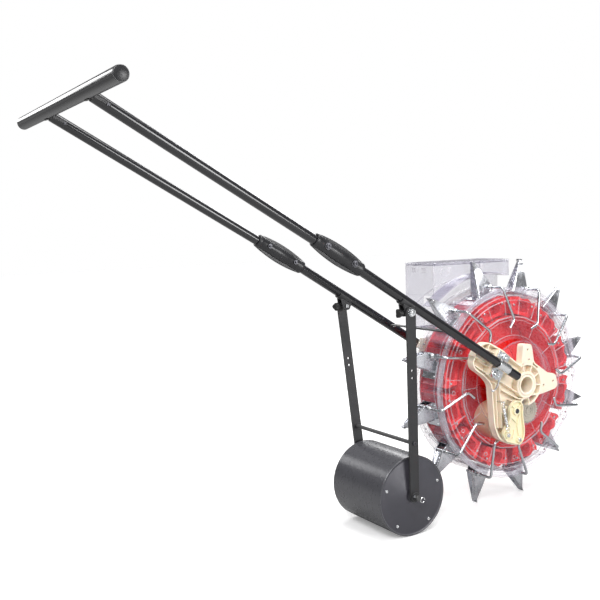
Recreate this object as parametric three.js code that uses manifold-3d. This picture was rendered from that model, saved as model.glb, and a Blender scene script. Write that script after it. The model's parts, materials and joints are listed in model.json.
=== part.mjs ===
// Hand-pushed rolling seeder: a wheel with twelve duckbill mouths, a clear seed hopper,
// a press roller on two arms and a push handle.
// Millimetres, +X forward, +Y to the machine's left, +Z up. The wheel's axis is parallel to Y.
// Parts are built around the wheel centre and moved to the ground plane at the end.

import * as THREE from 'three';
import { ConvexGeometry } from 'three/addons/geometries/ConvexGeometry.js';
import * as BufferGeometryUtils from 'three/addons/utils/BufferGeometryUtils.js';
import Module from 'manifold-3d';

const wasm = await Module();
wasm.setup();

// ---------------------------------------------------------------- driving dimensions
const MOUTH_COUNT = 12;
const MOUTH_STEP = 2 * Math.PI / MOUTH_COUNT;
const TIP_RADIUS = 281;            // twelve mouths 147 mm apart around the wheel
const RIM_RADIUS = 213;
const RIM_HALF_WIDTH = 46;
const BAND_APOTHEM = 199;          // flat faces that carry the mouths
const WALL_RADIUS = 147;           // inner wall of the seed compartments
const SHELL_OPENING = 97;
const FEED_SLOT = { inner: 32, outer: 54, halfAngle: THREE.MathUtils.degToRad(18) };
const FEED_SLOTS_AT = [THREE.MathUtils.degToRad(120), THREE.MathUtils.degToRad(300)];
const AXLE_RADIUS = 22.6;
const AXLE_BORE = 17.5;
const GAP = 0.3;                   // running and fitting clearance

const PIN_RADIUS_AT = 216.5;       // radius on which the lever pins lie
const PIN_LAG = THREE.MathUtils.degToRad(5.84);
const WIRE_RADIUS = 3;
const LEVER_INNER_RADIUS = 141.5;
const LEVER_INNER_LAG = THREE.MathUtils.degToRad(7.7);
const LEVER_FOOT_RADIUS = 125.3;
const LEVER_FOOT_LAG = THREE.MathUtils.degToRad(0.9);
const LEVER_Y = -56;
const JAW_WALL = 1.5;
const JAW_HALF = { base: 13.5, tip: 9.5, ridge: 2.5 };
const JAW_BASE = { front: 14, back: -29 };
const TONGUE_HALF = { base: 11.4, tip: 8 };

const TUBE_RADIUS = 9.5;
const TUBE_WALL = 1.5;
const TUBE_Y = 107;
const HANDLE_TUBE_Y = 118;
const TUBE_SLOPE = Math.tan(THREE.MathUtils.degToRad(31.6));
const TUBE_DROP = 1.2;             // the tube line passes this far below the wheel centre
const COUPLER = new THREE.Vector2(-497, 304.6);
const COUPLER_LENGTH = 118;
const HANDLE = new THREE.Vector2(-955.7, 573.6);
const HANDLE_RADIUS = 12.4;
const HANDLE_HALF_LENGTH = 276;
const TUBE_END_X = -44;

const GROUND_Z = -TIP_RADIUS * Math.cos(MOUTH_STEP / 2);
const ROLLER_RADIUS = 82;
const ROLLER_HALF_LENGTH = 83;
const ROLLER_WALL = 2.5;
const ROLLER_AXLE_RADIUS = 6;
const ROLLER = new THREE.Vector2(-316, GROUND_Z + ROLLER_RADIUS);   // clears the circle of the mouth tips
const ARM_HINGE = new THREE.Vector2(-340, 187);
const ARM_TOP_Y = 119.6;
const ARM_BOTTOM_Y = 89;
const ARM_WIDTH = 22;
const ARM_THICKNESS = 5;

const BRACKET_FRONT = 90;          // distance of the bracket faces from the wheel's middle plane
const BRACKET_BACK = 72;
const CAM_PIVOT = new THREE.Vector2(-37, -52);
const GEAR_MODULE = 2;
const HUB_TEETH = 43;
const PINION_TEETH = 27;
const PINION = new THREE.Vector2(28, -64.16);

const HOPPER = { back: -166, front: 59, near: 18, far: 115, bottom: 122, top: 268, wall: 2.5 };
const HOPPER_CLEARANCE_RADIUS = 240;
const HOPPER_RECESS_Y = 54;

// colour, roughness, metalness
const FINISH = {
  blackPaint: [0x101012, 0.25, 0.0],
  blackPlastic: [0x151517, 0.5, 0.0],
  rollerPaint: [0x45454b, 0.4, 0.3],
  clear: [0xe9e4f3, 0.08, 0.0],
  red: [0xd8282a, 0.3, 0.0],
  cream: [0xf0dfc4, 0.5, 0.0],
  ivory: [0xeadfb4, 0.5, 0.0],
  zinc: [0xc9ccd0, 0.3, 1.0],
  darkSteel: [0x3a3a3d, 0.4, 1.0],
  gear: [0xa9a08a, 0.55, 0.0],
};

// ---------------------------------------------------------------- geometry helpers
function solid(geometry) {
  const plain = geometry.clone();
  plain.deleteAttribute('normal');
  plain.deleteAttribute('uv');
  const merged = BufferGeometryUtils.mergeVertices(plain, 1e-4);
  const vertProperties = new Float32Array(merged.attributes.position.array);
  const triVerts = new Uint32Array(merged.index.array);
  const mesh = new wasm.Mesh({ numProp: 3, vertProperties, triVerts });
  mesh.merge();
  return new wasm.Manifold(mesh);
}

function toGeometry(manifold) {
  const mesh = manifold.getMesh();
  const geometry = new THREE.BufferGeometry();
  geometry.setAttribute('position', new THREE.BufferAttribute(new Float32Array(mesh.vertProperties), 3));
  geometry.setIndex(new THREE.BufferAttribute(new Uint32Array(mesh.triVerts), 1));
  return geometry;
}

function combine(method, first, others) {
  let result = solid(first);
  for (const other of others) {
    result = result[method](solid(other));
  }
  return toGeometry(result);
}

function join(first, ...others) {
  return combine('add', first, others);
}

function cut(first, ...others) {
  return combine('subtract', first, others);
}

function intersect(first, ...others) {
  return combine('intersect', first, others);
}

// The same part on the other side of the machine.
function mirrorY(geometry) {
  const copy = indexed(geometry);
  copy.scale(1, -1, 1);
  const index = copy.index.array;
  for (let i = 0; i < index.length; i += 3) {
    const swap = index[i];
    index[i] = index[i + 1];
    index[i + 1] = swap;
  }
  return copy;
}

function indexed(geometry) {
  const copy = geometry.clone();
  copy.deleteAttribute('normal');
  copy.deleteAttribute('uv');
  return copy.index ? copy : BufferGeometryUtils.mergeVertices(copy);
}

// A plate with its outline in the XZ plane and its thickness along Y.
function plate(outline, y0, y1, holes = []) {
  const shape = new THREE.Shape(outline.map(([x, z]) => new THREE.Vector2(x, z)));
  for (const [x, z, radius, sides = 16] of holes) {
    const hole = new THREE.Path();
    for (let i = 0; i < sides; i++) {
      const angle = 2 * Math.PI * i / sides;
      const px = x + radius * Math.cos(angle);
      const pz = z + radius * Math.sin(angle);
      if (i === 0) {
        hole.moveTo(px, pz);
      } else {
        hole.lineTo(px, pz);
      }
    }
    hole.closePath();
    shape.holes.push(hole);
  }
  const geometry = new THREE.ExtrudeGeometry(shape, { depth: y1 - y0, bevelEnabled: false });
  geometry.translate(0, 0, -y1);
  geometry.rotateX(Math.PI / 2);
  return geometry;
}

function circle(x, z, radius, sides, start = 0) {
  const points = [];
  for (let i = 0; i < sides; i++) {
    const angle = start + 2 * Math.PI * i / sides;
    points.push([x + radius * Math.cos(angle), z + radius * Math.sin(angle)]);
  }
  return points;
}

function rod(x, z, radius, y0, y1, sides = 20) {
  return plate(circle(x, z, radius, sides), y0, y1);
}

function tubeY(x, z, outer, inner, y0, y1, sides = 24) {
  return plate(circle(x, z, outer, sides), y0, y1, [[x, z, inner, sides]]);
}

function box(x0, x1, y0, y1, z0, z1) {
  const geometry = new THREE.BoxGeometry(x1 - x0, y1 - y0, z1 - z0);
  geometry.translate((x0 + x1) / 2, (y0 + y1) / 2, (z0 + z1) / 2);
  return geometry;
}

// A body of revolution about the wheel's axis from a closed profile of [radius, y] points.
function turned(profile, segments = 48) {
  const points = profile.map(([r, y]) => new THREE.Vector2(r, y));
  points.push(points[0].clone());
  const geometry = new THREE.LatheGeometry(points, segments);
  geometry.deleteAttribute('normal');
  geometry.deleteAttribute('uv');
  return facingOut(BufferGeometryUtils.mergeVertices(geometry));
}

// A bent wire or bar: a cross-section carried along a path with mitred corners.
function swept(path, section) {
  const count = section.length;
  const positions = [];
  const directions = [];
  for (let i = 0; i < path.length - 1; i++) {
    directions.push(path[i + 1].clone().sub(path[i]).normalize());
  }
  let side = sideOf(directions[0]);
  for (let i = 0; i < path.length; i++) {
    const before = directions[Math.max(i - 1, 0)];
    const after = directions[Math.min(i, directions.length - 1)];
    const normal = before.clone().add(after).normalize();
    const up = new THREE.Vector3().crossVectors(side, before).normalize();
    for (const [u, v] of section) {
      const offset = side.clone().multiplyScalar(u).addScaledVector(up, v);
      const slide = -offset.dot(normal) / before.dot(normal);
      positions.push(...path[i].clone().add(offset).addScaledVector(before, slide).toArray());
    }
    side = turnWith(side, before, after);
  }
  return closedSweep(positions, count, path.length);
}

function sideOf(direction) {
  const reference = Math.abs(direction.y) > 0.9 ? new THREE.Vector3(1, 0, 0) : new THREE.Vector3(0, 1, 0);
  return reference.addScaledVector(direction, -reference.dot(direction)).normalize();
}

function turnWith(vector, before, after) {
  const turn = new THREE.Quaternion().setFromUnitVectors(before, after);
  return vector.clone().applyQuaternion(turn);
}

function closedSweep(positions, count, rings) {
  const index = [];
  for (let ring = 0; ring < rings - 1; ring++) {
    for (let i = 0; i < count; i++) {
      const a = ring * count + i;
      const b = ring * count + (i + 1) % count;
      index.push(a, b, b + count, a, b + count, a + count);
    }
  }
  const last = (rings - 1) * count;
  for (let i = 1; i < count - 1; i++) {
    index.push(0, i + 1, i);
    index.push(last, last + i, last + i + 1);
  }
  const geometry = new THREE.BufferGeometry();
  geometry.setAttribute('position', new THREE.Float32BufferAttribute(positions, 3));
  geometry.setIndex(index);
  return facingOut(geometry);
}

function facingOut(geometry) {
  const index = geometry.index.array;
  const p = geometry.attributes.position;
  const [a, b, c] = [new THREE.Vector3(), new THREE.Vector3(), new THREE.Vector3()];
  let volume = 0;
  for (let i = 0; i < index.length; i += 3) {
    a.fromBufferAttribute(p, index[i]);
    b.fromBufferAttribute(p, index[i + 1]);
    c.fromBufferAttribute(p, index[i + 2]);
    volume += a.dot(b.cross(c));
  }
  if (volume < 0) {
    for (let i = 0; i < index.length; i += 3) {
      const swap = index[i];
      index[i] = index[i + 1];
      index[i + 1] = swap;
    }
  }
  return geometry;
}

function roundSection(radius, sides) {
  return circle(0, 0, radius, sides);
}

function pipe(start, end, radius, wall, sides = 16) {
  const direction = end.clone().sub(start).normalize();
  const outside = swept([start, end], roundSection(radius, sides));
  const boreStart = start.clone().addScaledVector(direction, -1);
  const boreEnd = end.clone().addScaledVector(direction, 1);
  return cut(outside, swept([boreStart, boreEnd], roundSection(radius - wall, sides)));
}

function polar(radius, angle, y) {
  return new THREE.Vector3(radius * Math.cos(angle), y, radius * Math.sin(angle));
}

// Turns a part built at angle 0 (pointing along +X) to a mouth's place on the wheel.
function atMouth(geometry, k) {
  return geometry.clone().rotateY(-mouthAngle(k));
}

function mouthAngle(k) {
  return MOUTH_STEP * (k + 0.5);
}

// ---------------------------------------------------------------- seed wheel
function seedDrum() {
  const band = cut(
    plate(circle(0, 0, BAND_APOTHEM / Math.cos(MOUTH_STEP / 2), MOUTH_COUNT), -43, 41.5),
    plate(circle(0, 0, (BAND_APOTHEM - 4) / Math.cos(MOUTH_STEP / 2), MOUTH_COUNT), -50, 37.5),
  );
  const wall = tubeY(0, 0, WALL_RADIUS + 1, WALL_RADIUS - 2, -43, 38, 24);
  const hubTube = rod(0, 0, 27, -59.5, 41.5, 20);
  let drum = solid(join(band, wall, hubTube));
  for (let k = 0; k < MOUTH_COUNT; k++) {
    const partition = box(WALL_RADIUS, BAND_APOTHEM + 3, -43, 38, -1.25, 1.25);
    partition.rotateY(-MOUTH_STEP * k);
    drum = drum.add(solid(partition));
  }
  for (let k = 0; k < MOUTH_COUNT; k++) {
    const seedSlot = box(BAND_APOTHEM - 8, BAND_APOTHEM + 8, -9, 9, -9, 9);
    const wallSlot = box(WALL_RADIUS - 8, WALL_RADIUS + 6, -20, 12, -9, 9);
    drum = drum.subtract(solid(atMouth(seedSlot, k)));
    drum = drum.subtract(solid(atMouth(wallSlot, k)));
  }
  for (const middle of FEED_SLOTS_AT) {
    drum = drum.subtract(solid(feedSlot(middle)));
  }
  return cut(toGeometry(drum), rod(0, 0, AXLE_RADIUS + 2 * GAP, -70, 50, 24));
}

// Curved slot through the drum's far side, where seed comes in from the chute.
function feedSlot(middle) {
  const steps = 4;
  const outline = [];
  for (const [radius, sense] of [[FEED_SLOT.outer, 1], [FEED_SLOT.inner, -1]]) {
    for (let i = -steps; i <= steps; i++) {
      const angle = middle + sense * FEED_SLOT.halfAngle * i / steps;
      outline.push([radius * Math.cos(angle), radius * Math.sin(angle)]);
    }
  }
  return plate(outline, 30, 50);
}

// Clear moulded side of the wheel with raised rings on its face.
function nearShell() {
  const inside = -43 - GAP;
  const face = -46;
  const profile = [
    [SHELL_OPENING, inside], [RIM_RADIUS, inside], [RIM_RADIUS, -50],
    [RIM_RADIUS - 5, -50], [RIM_RADIUS - 5, face], [185, face], [183.5, -48.5], [182, face],
    [149, face], [149, -50], [145.5, -50], [145.5, face],
    [SHELL_OPENING + 3, face], [SHELL_OPENING + 3, -49], [SHELL_OPENING, -49],
  ];
  return turned(profile, 36);
}

function farShell() {
  const inside = 41.5 + GAP;
  const profile = [
    [186, inside], [186, 45], [RIM_RADIUS - 5, 45], [RIM_RADIUS - 5, 48],
    [RIM_RADIUS, 48], [RIM_RADIUS, inside],
  ];
  return turned(profile, 36);
}

function gearOutline(teeth, centre, phase) {
  const pitch = GEAR_MODULE * teeth / 2;
  const tip = pitch + 0.9 * GEAR_MODULE;
  const root = pitch - 1.2 * GEAR_MODULE;
  const step = 2 * Math.PI / teeth;
  const points = [];
  for (let i = 0; i < teeth; i++) {
    const middle = phase + i * step;
    for (const [radius, offset] of [[root, -0.3], [tip, -0.12], [tip, 0.12], [root, 0.3]]) {
      const angle = middle + offset * step;
      points.push([centre.x + radius * Math.cos(angle), centre.y + radius * Math.sin(angle)]);
    }
  }
  return points;
}

function hubGear() {
  const meshAngle = Math.atan2(PINION.y, PINION.x);
  const outline = gearOutline(HUB_TEETH, new THREE.Vector2(0, 0), meshAngle);
  return plate(outline, -68, -60, [[0, 0, AXLE_RADIUS + 2 * GAP, 24]]);
}

// ---------------------------------------------------------------- duckbill mouths
// Built for a mouth pointing along +X: x is the distance from the wheel's axis, z is across the mouth.
const PIN = new THREE.Vector2(PIN_RADIUS_AT * Math.cos(PIN_LAG), -PIN_RADIUS_AT * Math.sin(PIN_LAG));

function fixedJaw() {
  const seat = BAND_APOTHEM + GAP;
  const inside = JAW_HALF.base - JAW_WALL;
  const outer = wedge([
    [seat, JAW_HALF.base, JAW_BASE.front], [seat, JAW_HALF.base, JAW_BASE.back],
    [PIN.x + 4, JAW_HALF.base, JAW_BASE.back], [TIP_RADIUS - 0.7, JAW_HALF.tip, -0.7],
    [TIP_RADIUS, JAW_HALF.ridge, 0], [TIP_RADIUS - 4, JAW_HALF.ridge, 2.6],
  ]);
  const inner = wedge([
    [seat - 2, inside, JAW_BASE.front - JAW_WALL], [seat - 2, inside, JAW_BASE.back - 6],
    [PIN.x + 10, inside, JAW_BASE.back - 6], [TIP_RADIUS + 2, JAW_HALF.tip - JAW_WALL, -1.2],
    [TIP_RADIUS - 8, JAW_HALF.ridge - JAW_WALL, 0.6],
  ]);
  const flange = cut(box(seat, seat + 1.6, -21, 21, -29, 27), box(seat - 1, seat + 3, -9, 9, -9, 9));
  const channel = cut(outer, inner, rod(PIN.x, PIN.y, WIRE_RADIUS + GAP + 0.1, -20, 20, 10));
  return join(channel, flange);
}

// Convex wedge through [x, half width, z] corners on both sides of the mouth's middle plane.
function wedge(corners) {
  const points = [];
  for (const [x, half, z] of corners) {
    points.push(new THREE.Vector3(x, -half, z), new THREE.Vector3(x, half, z));
  }
  return new ConvexGeometry(points);
}

// The moving tongue, its knuckle and the lever wire that opens it.
function tongue() {
  const reach = new THREE.Vector2(TIP_RADIUS - 3.5, -2.2);
  const along = reach.clone().sub(PIN);
  const length = along.length();
  const { base, tip } = TONGUE_HALF;
  const roundFrom = length - 9;
  const shape = new THREE.Shape();
  shape.moveTo(3, -base);
  shape.lineTo(roundFrom, -tip);
  for (const angle of [-45, 0, 45]) {
    const a = THREE.MathUtils.degToRad(angle);
    shape.lineTo(roundFrom + 9 * Math.cos(a), tip * Math.sin(a));
  }
  shape.lineTo(roundFrom, tip);
  shape.lineTo(3, base);
  const blade = new THREE.ExtrudeGeometry(shape, { depth: 1.6, bevelEnabled: false });
  const nearLip = box(10, length - 30, -tip, -tip + JAW_WALL, -1, 4);
  const farLip = box(10, length - 30, tip - JAW_WALL, tip, -1, 4);
  const tilted = join(blade, nearLip, farLip);
  tilted.translate(0, 0, 0.3);
  tilted.rotateY(-Math.atan2(along.y, along.x));
  tilted.translate(PIN.x, 0, PIN.y);
  const knuckle = rod(PIN.x, PIN.y, 4.6, -11.4, 11.4, 10);
  return join(knuckle, tilted, leverWire());
}

function leverWire() {
  const pinAngle = -PIN_LAG;
  const path = [
    new THREE.Vector3(PIN.x, 22, PIN.y),
    new THREE.Vector3(PIN.x, LEVER_Y, PIN.y),
    polar(LEVER_INNER_RADIUS, pinAngle - LEVER_INNER_LAG, LEVER_Y - 3.5),
    polar(LEVER_FOOT_RADIUS, pinAngle - LEVER_FOOT_LAG, LEVER_Y - 3.5),
  ];
  return swept(path, roundSection(WIRE_RADIUS, 6));
}

// ---------------------------------------------------------------- hub, brackets and drive
function bracketOutline(withCamArm) {
  const arm = [[-151, 51], [-156, 67], [-134, 101], [-111, 105], [-68, 83], [-50, 68], [-14, 43]];
  const tabs = [
    [-10, 86], [-4, 90], [13, 89], [18, 84], [24, 47], [38, 38], [68, 18], [86, 16], [93, 9],
    [97, -11], [91, -19], [38, -27],
  ];
  const camSide = [
    [2, -25], [-17, -36], [-20, -60], [-13, -96], [-16, -118], [-29, -131], [-60, -122], [-84, -107],
    [-97, -78], [-104, 12],
  ];
  const plainSide = [[10, -27], [-16, -23], [-60, 4]];
  return [...arm, ...tabs, ...(withCamArm ? camSide : plainSide), [-121, 31]];
}

// Opening of the near bracket in which the trip arm's shoe swings.
const SHOE_WINDOW = [
  [-73.5, -91.5], [-51, -110.5], [-33, -116], [-22, -113], [-19.5, -96], [-29, -81], [-57, -89.5],
];

function bracketCasting(withCamArm) {
  const holes = [[5, 77, 2.2, 8], [9, 55, 2.2, 8], [53, -7, 2.6, 8], [83, -1, 2.6, 8]];
  const body = plate(bracketOutline(withCamArm), -BRACKET_FRONT, -BRACKET_BACK, holes);
  const floor = -BRACKET_BACK - 4;
  const pockets = [
    plate([[-131, 96], [-112, 99], [-72, 78], [-60, 66], [-70, 60]], -95, floor),
    plate([[-146, 55], [-151, 66], [-140, 84], [-101, 60], [-123, 42]], -95, floor),
    plate([[-95, 52], [-116, 34], [-98, 18], [-30, -14], [-28, 12]], -95, floor),
    ...hubPockets(floor),
  ];
  if (withCamArm) {
    pockets.push(plate([[-98, 8], [-91, 3], [-86, -60], [-92, -60]], -95, floor));
    pockets.push(plate([[-84, -2], [-60, -14], [-60, -80], [-80, -84]], -95, floor));
    pockets.push(plate(SHOE_WINDOW, -95, -60));
  }
  const hub = rod(0, 0, 28, -BRACKET_FRONT, -BRACKET_BACK + 2, 24);
  const pads = clampPads();
  const bores = [
    rod(0, 0, AXLE_RADIUS + GAP, -100, -60, 24),
    rod(CAM_PIVOT.x, CAM_PIVOT.y, 5 + GAP, -100, -60, 14),
  ];
  return cut(join(cut(body, ...pockets), hub, ...pads), ...(withCamArm ? bores : bores.slice(0, 1)));
}

function hubPockets(floor) {
  const pockets = [];
  for (const [from, to] of [[-22, 12], [20, 54], [62, 88]]) {
    const outline = [];
    for (const [radius, a, b] of [[31, from, to], [41, to, from]]) {
      for (const t of [0, 0.5, 1]) {
        const angle = THREE.MathUtils.degToRad(a + (b - a) * t);
        outline.push([radius * Math.cos(angle), radius * Math.sin(angle)]);
      }
    }
    pockets.push(plate(outline, -95, floor));
  }
  return pockets;
}

const CLAMP_X = -88;
const TUBE_DIRECTION = new THREE.Vector3(-1, 0, TUBE_SLOPE).normalize();

function tubeLine(x) {
  return -TUBE_DROP - x * TUBE_SLOPE;
}

// Moves a part built along X around the origin onto the near lower tube at the clamp.
function ontoTube(geometry, x, y) {
  geometry.rotateY(Math.atan(TUBE_SLOPE));
  return geometry.translate(x, y, tubeLine(x));
}

function clampPads() {
  const seat = TUBE_Y - TUBE_RADIUS - GAP;
  const pads = [];
  for (const [along, across, half] of [[0, 0, 31], [-55, 0, 13]]) {
    const pad = box(-17 + along, 17 + along, -seat, -BRACKET_BACK - 1, across - half, across + half);
    pads.push(ontoTube(pad, CLAMP_X, 0));
  }
  return pads.map((pad) => cut(pad, ...clampBolts(3.6)));
}

function clampBolts(radius) {
  return [-21.7, 21.7].map((across) => ontoTube(rod(0, across, radius, -130, -60, 10), CLAMP_X, 0));
}

// Zinc strap that presses the tube against its seat.
function tubeClamp() {
  const seat = -(TUBE_RADIUS + GAP);
  const section = [];
  for (let i = 0; i <= 8; i++) {
    const angle = Math.PI * i / 8;
    section.push([-(TUBE_RADIUS + 2.6) * Math.cos(angle), (TUBE_RADIUS + 2.6) * Math.sin(angle)]);
  }
  const strap = new THREE.Shape([
    new THREE.Vector2(-29, seat + GAP + 0.3), new THREE.Vector2(29, seat + GAP + 0.3),
    new THREE.Vector2(29, seat + 3), new THREE.Vector2(12.1, seat + 3),
    ...section.reverse().map(([a, b]) => new THREE.Vector2(a, b)),
    new THREE.Vector2(-12.1, seat + 3), new THREE.Vector2(-29, seat + 3),
  ]);
  const geometry = new THREE.ExtrudeGeometry(strap, { depth: 34, bevelEnabled: false });
  geometry.translate(0, 0, -17);
  // section x runs across the tube (to Z), section y away from the bracket (to -Y)
  geometry.applyMatrix4(new THREE.Matrix4().makeBasis(
    new THREE.Vector3(0, 0, 1), new THREE.Vector3(0, -1, 0), new THREE.Vector3(1, 0, 0),
  ));
  const placed = ontoTube(geometry, CLAMP_X, -TUBE_Y);
  const channel = swept(
    [pointOnTube(CLAMP_X - 40, 1), pointOnTube(CLAMP_X + 40, 1)],
    roundSection(TUBE_RADIUS + GAP, 16),
  );
  const slot = ontoTube(box(-30, 30, -TUBE_Y, -TUBE_Y + 30, -9.8, 9.8), CLAMP_X, 0);
  return cut(placed, channel, slot, ...clampBolts(3.2));
}

function pointOnTube(x, side) {
  return new THREE.Vector3(x, -TUBE_Y * side, tubeLine(x));
}

function axleTube() {
  return tubeY(0, 0, AXLE_RADIUS, AXLE_BORE, -BRACKET_FRONT - 1, BRACKET_FRONT + 1, 24);
}

// Spring-loaded trip arm whose shoe meets the feet of the lever wires as the wheel rolls.
function camArm() {
  const front = [
    [-24, -34], [-37, -29], [-52, -34], [-58, -46], [-56, -58], [-60, -72], [-72, -84], [-79, -96],
    [-70, -114], [-29, -128], [-18, -116], [-14, -96], [-21, -62], [-19, -44],
  ];
  const block = [[-70, -93.5], [-50, -107], [-34, -112.5], [-29, -98], [-34, -87], [-56, -93]];
  const windows = [
    plate([[-50, -66], [-38, -72], [-28, -84], [-34, -112], [-48, -108], [-56, -78]], -100, -93.5),
  ];
  const body = cut(plate(front, -97, -91, [[CAM_PIVOT.x, CAM_PIVOT.y, 5.3, 14]]), ...windows);
  const shoe = plate(block, -91.5, -55);
  return join(body, shoe);
}

function camPivotPin() {
  const shaft = rod(CAM_PIVOT.x, CAM_PIVOT.y, 5, -98, -76 - GAP, 14);
  const head = rod(CAM_PIVOT.x, CAM_PIVOT.y, 7, -100, -98 + GAP, 14);
  return join(shaft, head);
}

function meterHousing() {
  const cup = cut(
    rod(-24, -87, 42, -40, 8, 28),
    rod(-24, -87, 39, -45, 5, 28),
  );
  const casing = rod(PINION.x, PINION.y, 25, -40, 8, 24);
  const link = plate([[-40, -52], [10, -42], [34, -90], [-10, -126]], 2, 8);
  const post = rod(-42, -74, 9, -BRACKET_BACK + GAP, 6, 16);
  const bore = rod(PINION.x, PINION.y, 22, -45, 5, 24);
  const feed = box(-12, 24, -36, 0, -75, -50);
  const shell = cut(join(cup, casing, link), bore, feed, rod(0, 0, 30, -60, 20, 24));
  return join(shell, post);
}

// Metering roller, its shaft and the pinion driven by the hub gear.
function meterShaft() {
  const outline = [];
  for (let i = 0; i < 16; i++) {
    const angle = 2 * Math.PI * i / 16;
    const radius = i % 2 === 0 ? 20.5 : 16;
    outline.push([PINION.x + radius * Math.cos(angle), PINION.y + radius * Math.sin(angle)]);
  }
  const roller = plate(outline, -34, 2);
  const step = 2 * Math.PI / PINION_TEETH;
  const phase = Math.atan2(-PINION.y, -PINION.x) + step / 2;
  const gear = plate(gearOutline(PINION_TEETH, PINION, phase), -68, -60);
  const boss = rod(PINION.x, PINION.y, 9, -70, -66, 18);
  const shaft = rod(PINION.x, PINION.y, 5, -61, -33, 14);
  return join(roller, gear, boss, shaft);
}

// ---------------------------------------------------------------- hopper
// Outside of the hopper when inset is 0, its inside when inset is the wall thickness.
function hopperForm(inset) {
  const h = HOPPER;
  const main = box(
    h.back + inset, h.front - inset, h.near + inset, h.far - inset,
    h.bottom + inset, h.top + (inset > 0 ? 5 : 0),
  );
  const clearance = rod(0, 0, HOPPER_CLEARANCE_RADIUS + inset, -20, HOPPER_RECESS_Y + inset, 72);
  const chute = plate([
    [-62 + inset, h.bottom + 6], [46 - inset, h.bottom + 6], [26 - inset, 60], [26 - inset, 29 + inset],
    [-22 + inset, 29 + inset], [-22 + inset, 60],
  ], HOPPER_RECESS_Y + inset, BRACKET_BACK - GAP - inset);
  return join(cut(main, clearance), chute);
}

function hopperBody() {
  const outlet = box(-14, 18, HOPPER_RECESS_Y - 5, HOPPER_RECESS_Y + 5, 33, 56);
  return cut(hopperForm(0), hopperForm(HOPPER.wall), outlet);
}

function hopperLid() {
  const h = HOPPER;
  const top = box(h.back - 2, h.front + 2, h.near - 2, h.far + 2, h.top + GAP, h.top + 3.3);
  const insideRim = cut(
    box(h.back + 3.2, h.front - 3.2, h.near + 3.2, h.far - 3.2, h.top - 3, h.top + 1),
    box(h.back + 5.2, h.front - 5.2, h.near + 5.2, h.far - 5.2, h.top - 4, h.top + 2),
  );
  return join(top, insideRim);
}

// ---------------------------------------------------------------- handle frame
function nearPoint(x, y, z) {
  return new THREE.Vector3(x, -y, z);
}

function crossbar() {
  const bar = plate(circle(HANDLE.x, HANDLE.y, HANDLE_RADIUS, 24), -HANDLE_HALF_LENGTH, HANDLE_HALF_LENGTH);
  const bore = rod(HANDLE.x, HANDLE.y, HANDLE_RADIUS - TUBE_WALL, -300, 300, 24);
  return cut(bar, bore);
}

function handleCap() {
  const end = -HANDLE_HALF_LENGTH;
  const plug = rod(HANDLE.x, HANDLE.y, HANDLE_RADIUS - TUBE_WALL - GAP, end - 0.5, end + 18, 20);
  const disc = rod(HANDLE.x, HANDLE.y, HANDLE_RADIUS - 0.8, end - 2.5, end - GAP, 24);
  return join(plug, disc);
}

function upperTube() {
  const top = nearPoint(HANDLE.x, HANDLE_TUBE_Y, HANDLE.y);
  const bottom = nearPoint(COUPLER.x, TUBE_Y, COUPLER.y);
  const direction = top.clone().sub(bottom).normalize();
  const start = bottom.clone().addScaledVector(direction, 0.8);
  const tube = pipe(start, top, TUBE_RADIUS, TUBE_WALL);
  return cut(tube, rod(HANDLE.x, HANDLE.y, HANDLE_RADIUS + GAP, -200, 0, 24));
}

function lowerTube() {
  const start = nearPoint(COUPLER.x, TUBE_Y, COUPLER.y).addScaledVector(TUBE_DIRECTION, -0.8);
  return pipe(start, pointOnTube(TUBE_END_X, 1), TUBE_RADIUS, TUBE_WALL);
}

// Half of the clamp that joins the upper and lower tube; side 1 is the outer half.
function couplerHalf(outerHalf) {
  const half = COUPLER_LENGTH / 2;
  const bore = 10.9;
  const skin = 13.6;
  const lens = [[-half, 12.4], [-40, 15.4], [-16, 17.8], [16, 17.8], [40, 15.4], [half, 12.4]];
  const outline = [...lens, ...lens.map(([x, z]) => [x, -z]).reverse()];
  const y0 = outerHalf ? -2.6 : GAP;
  const y1 = outerHalf ? 0 : 2.6;
  const flange = plate(outline, y0, y1);
  const swell = swept(
    [new THREE.Vector3(-half, 0, 0), new THREE.Vector3(half, 0, 0)],
    roundSection(skin, 20),
  );
  const keep = outerHalf ? box(-80, 80, -20, 0, -20, 20) : box(-80, 80, GAP, 11.6, -20, 20);
  const channel = swept([new THREE.Vector3(-80, 0, 0), new THREE.Vector3(80, 0, 0)], roundSection(bore, 20));
  let body = cut(join(intersect(swell, keep), flange), channel);
  if (!outerHalf) {
    const strap = box(-half, half, 10.4 + GAP, 13, -9, 9);
    body = cut(join(body, strap), channel);
  }
  const slope = (Math.atan(TUBE_SLOPE) + Math.atan2(HANDLE.y - COUPLER.y, COUPLER.x - HANDLE.x)) / 2;
  body.rotateZ((HANDLE_TUBE_Y - TUBE_Y) / (COUPLER.x - HANDLE.x) / 2);
  body.rotateY(slope);
  return body.translate(COUPLER.x, -TUBE_Y - 0.2, COUPLER.y);
}

function braceRod() {
  const x = -220;
  return rod(x, tubeLine(x) + 3, 3.5, -(TUBE_Y - TUBE_RADIUS - 0.2), TUBE_Y - TUBE_RADIUS - 0.2, 12);
}

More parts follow.
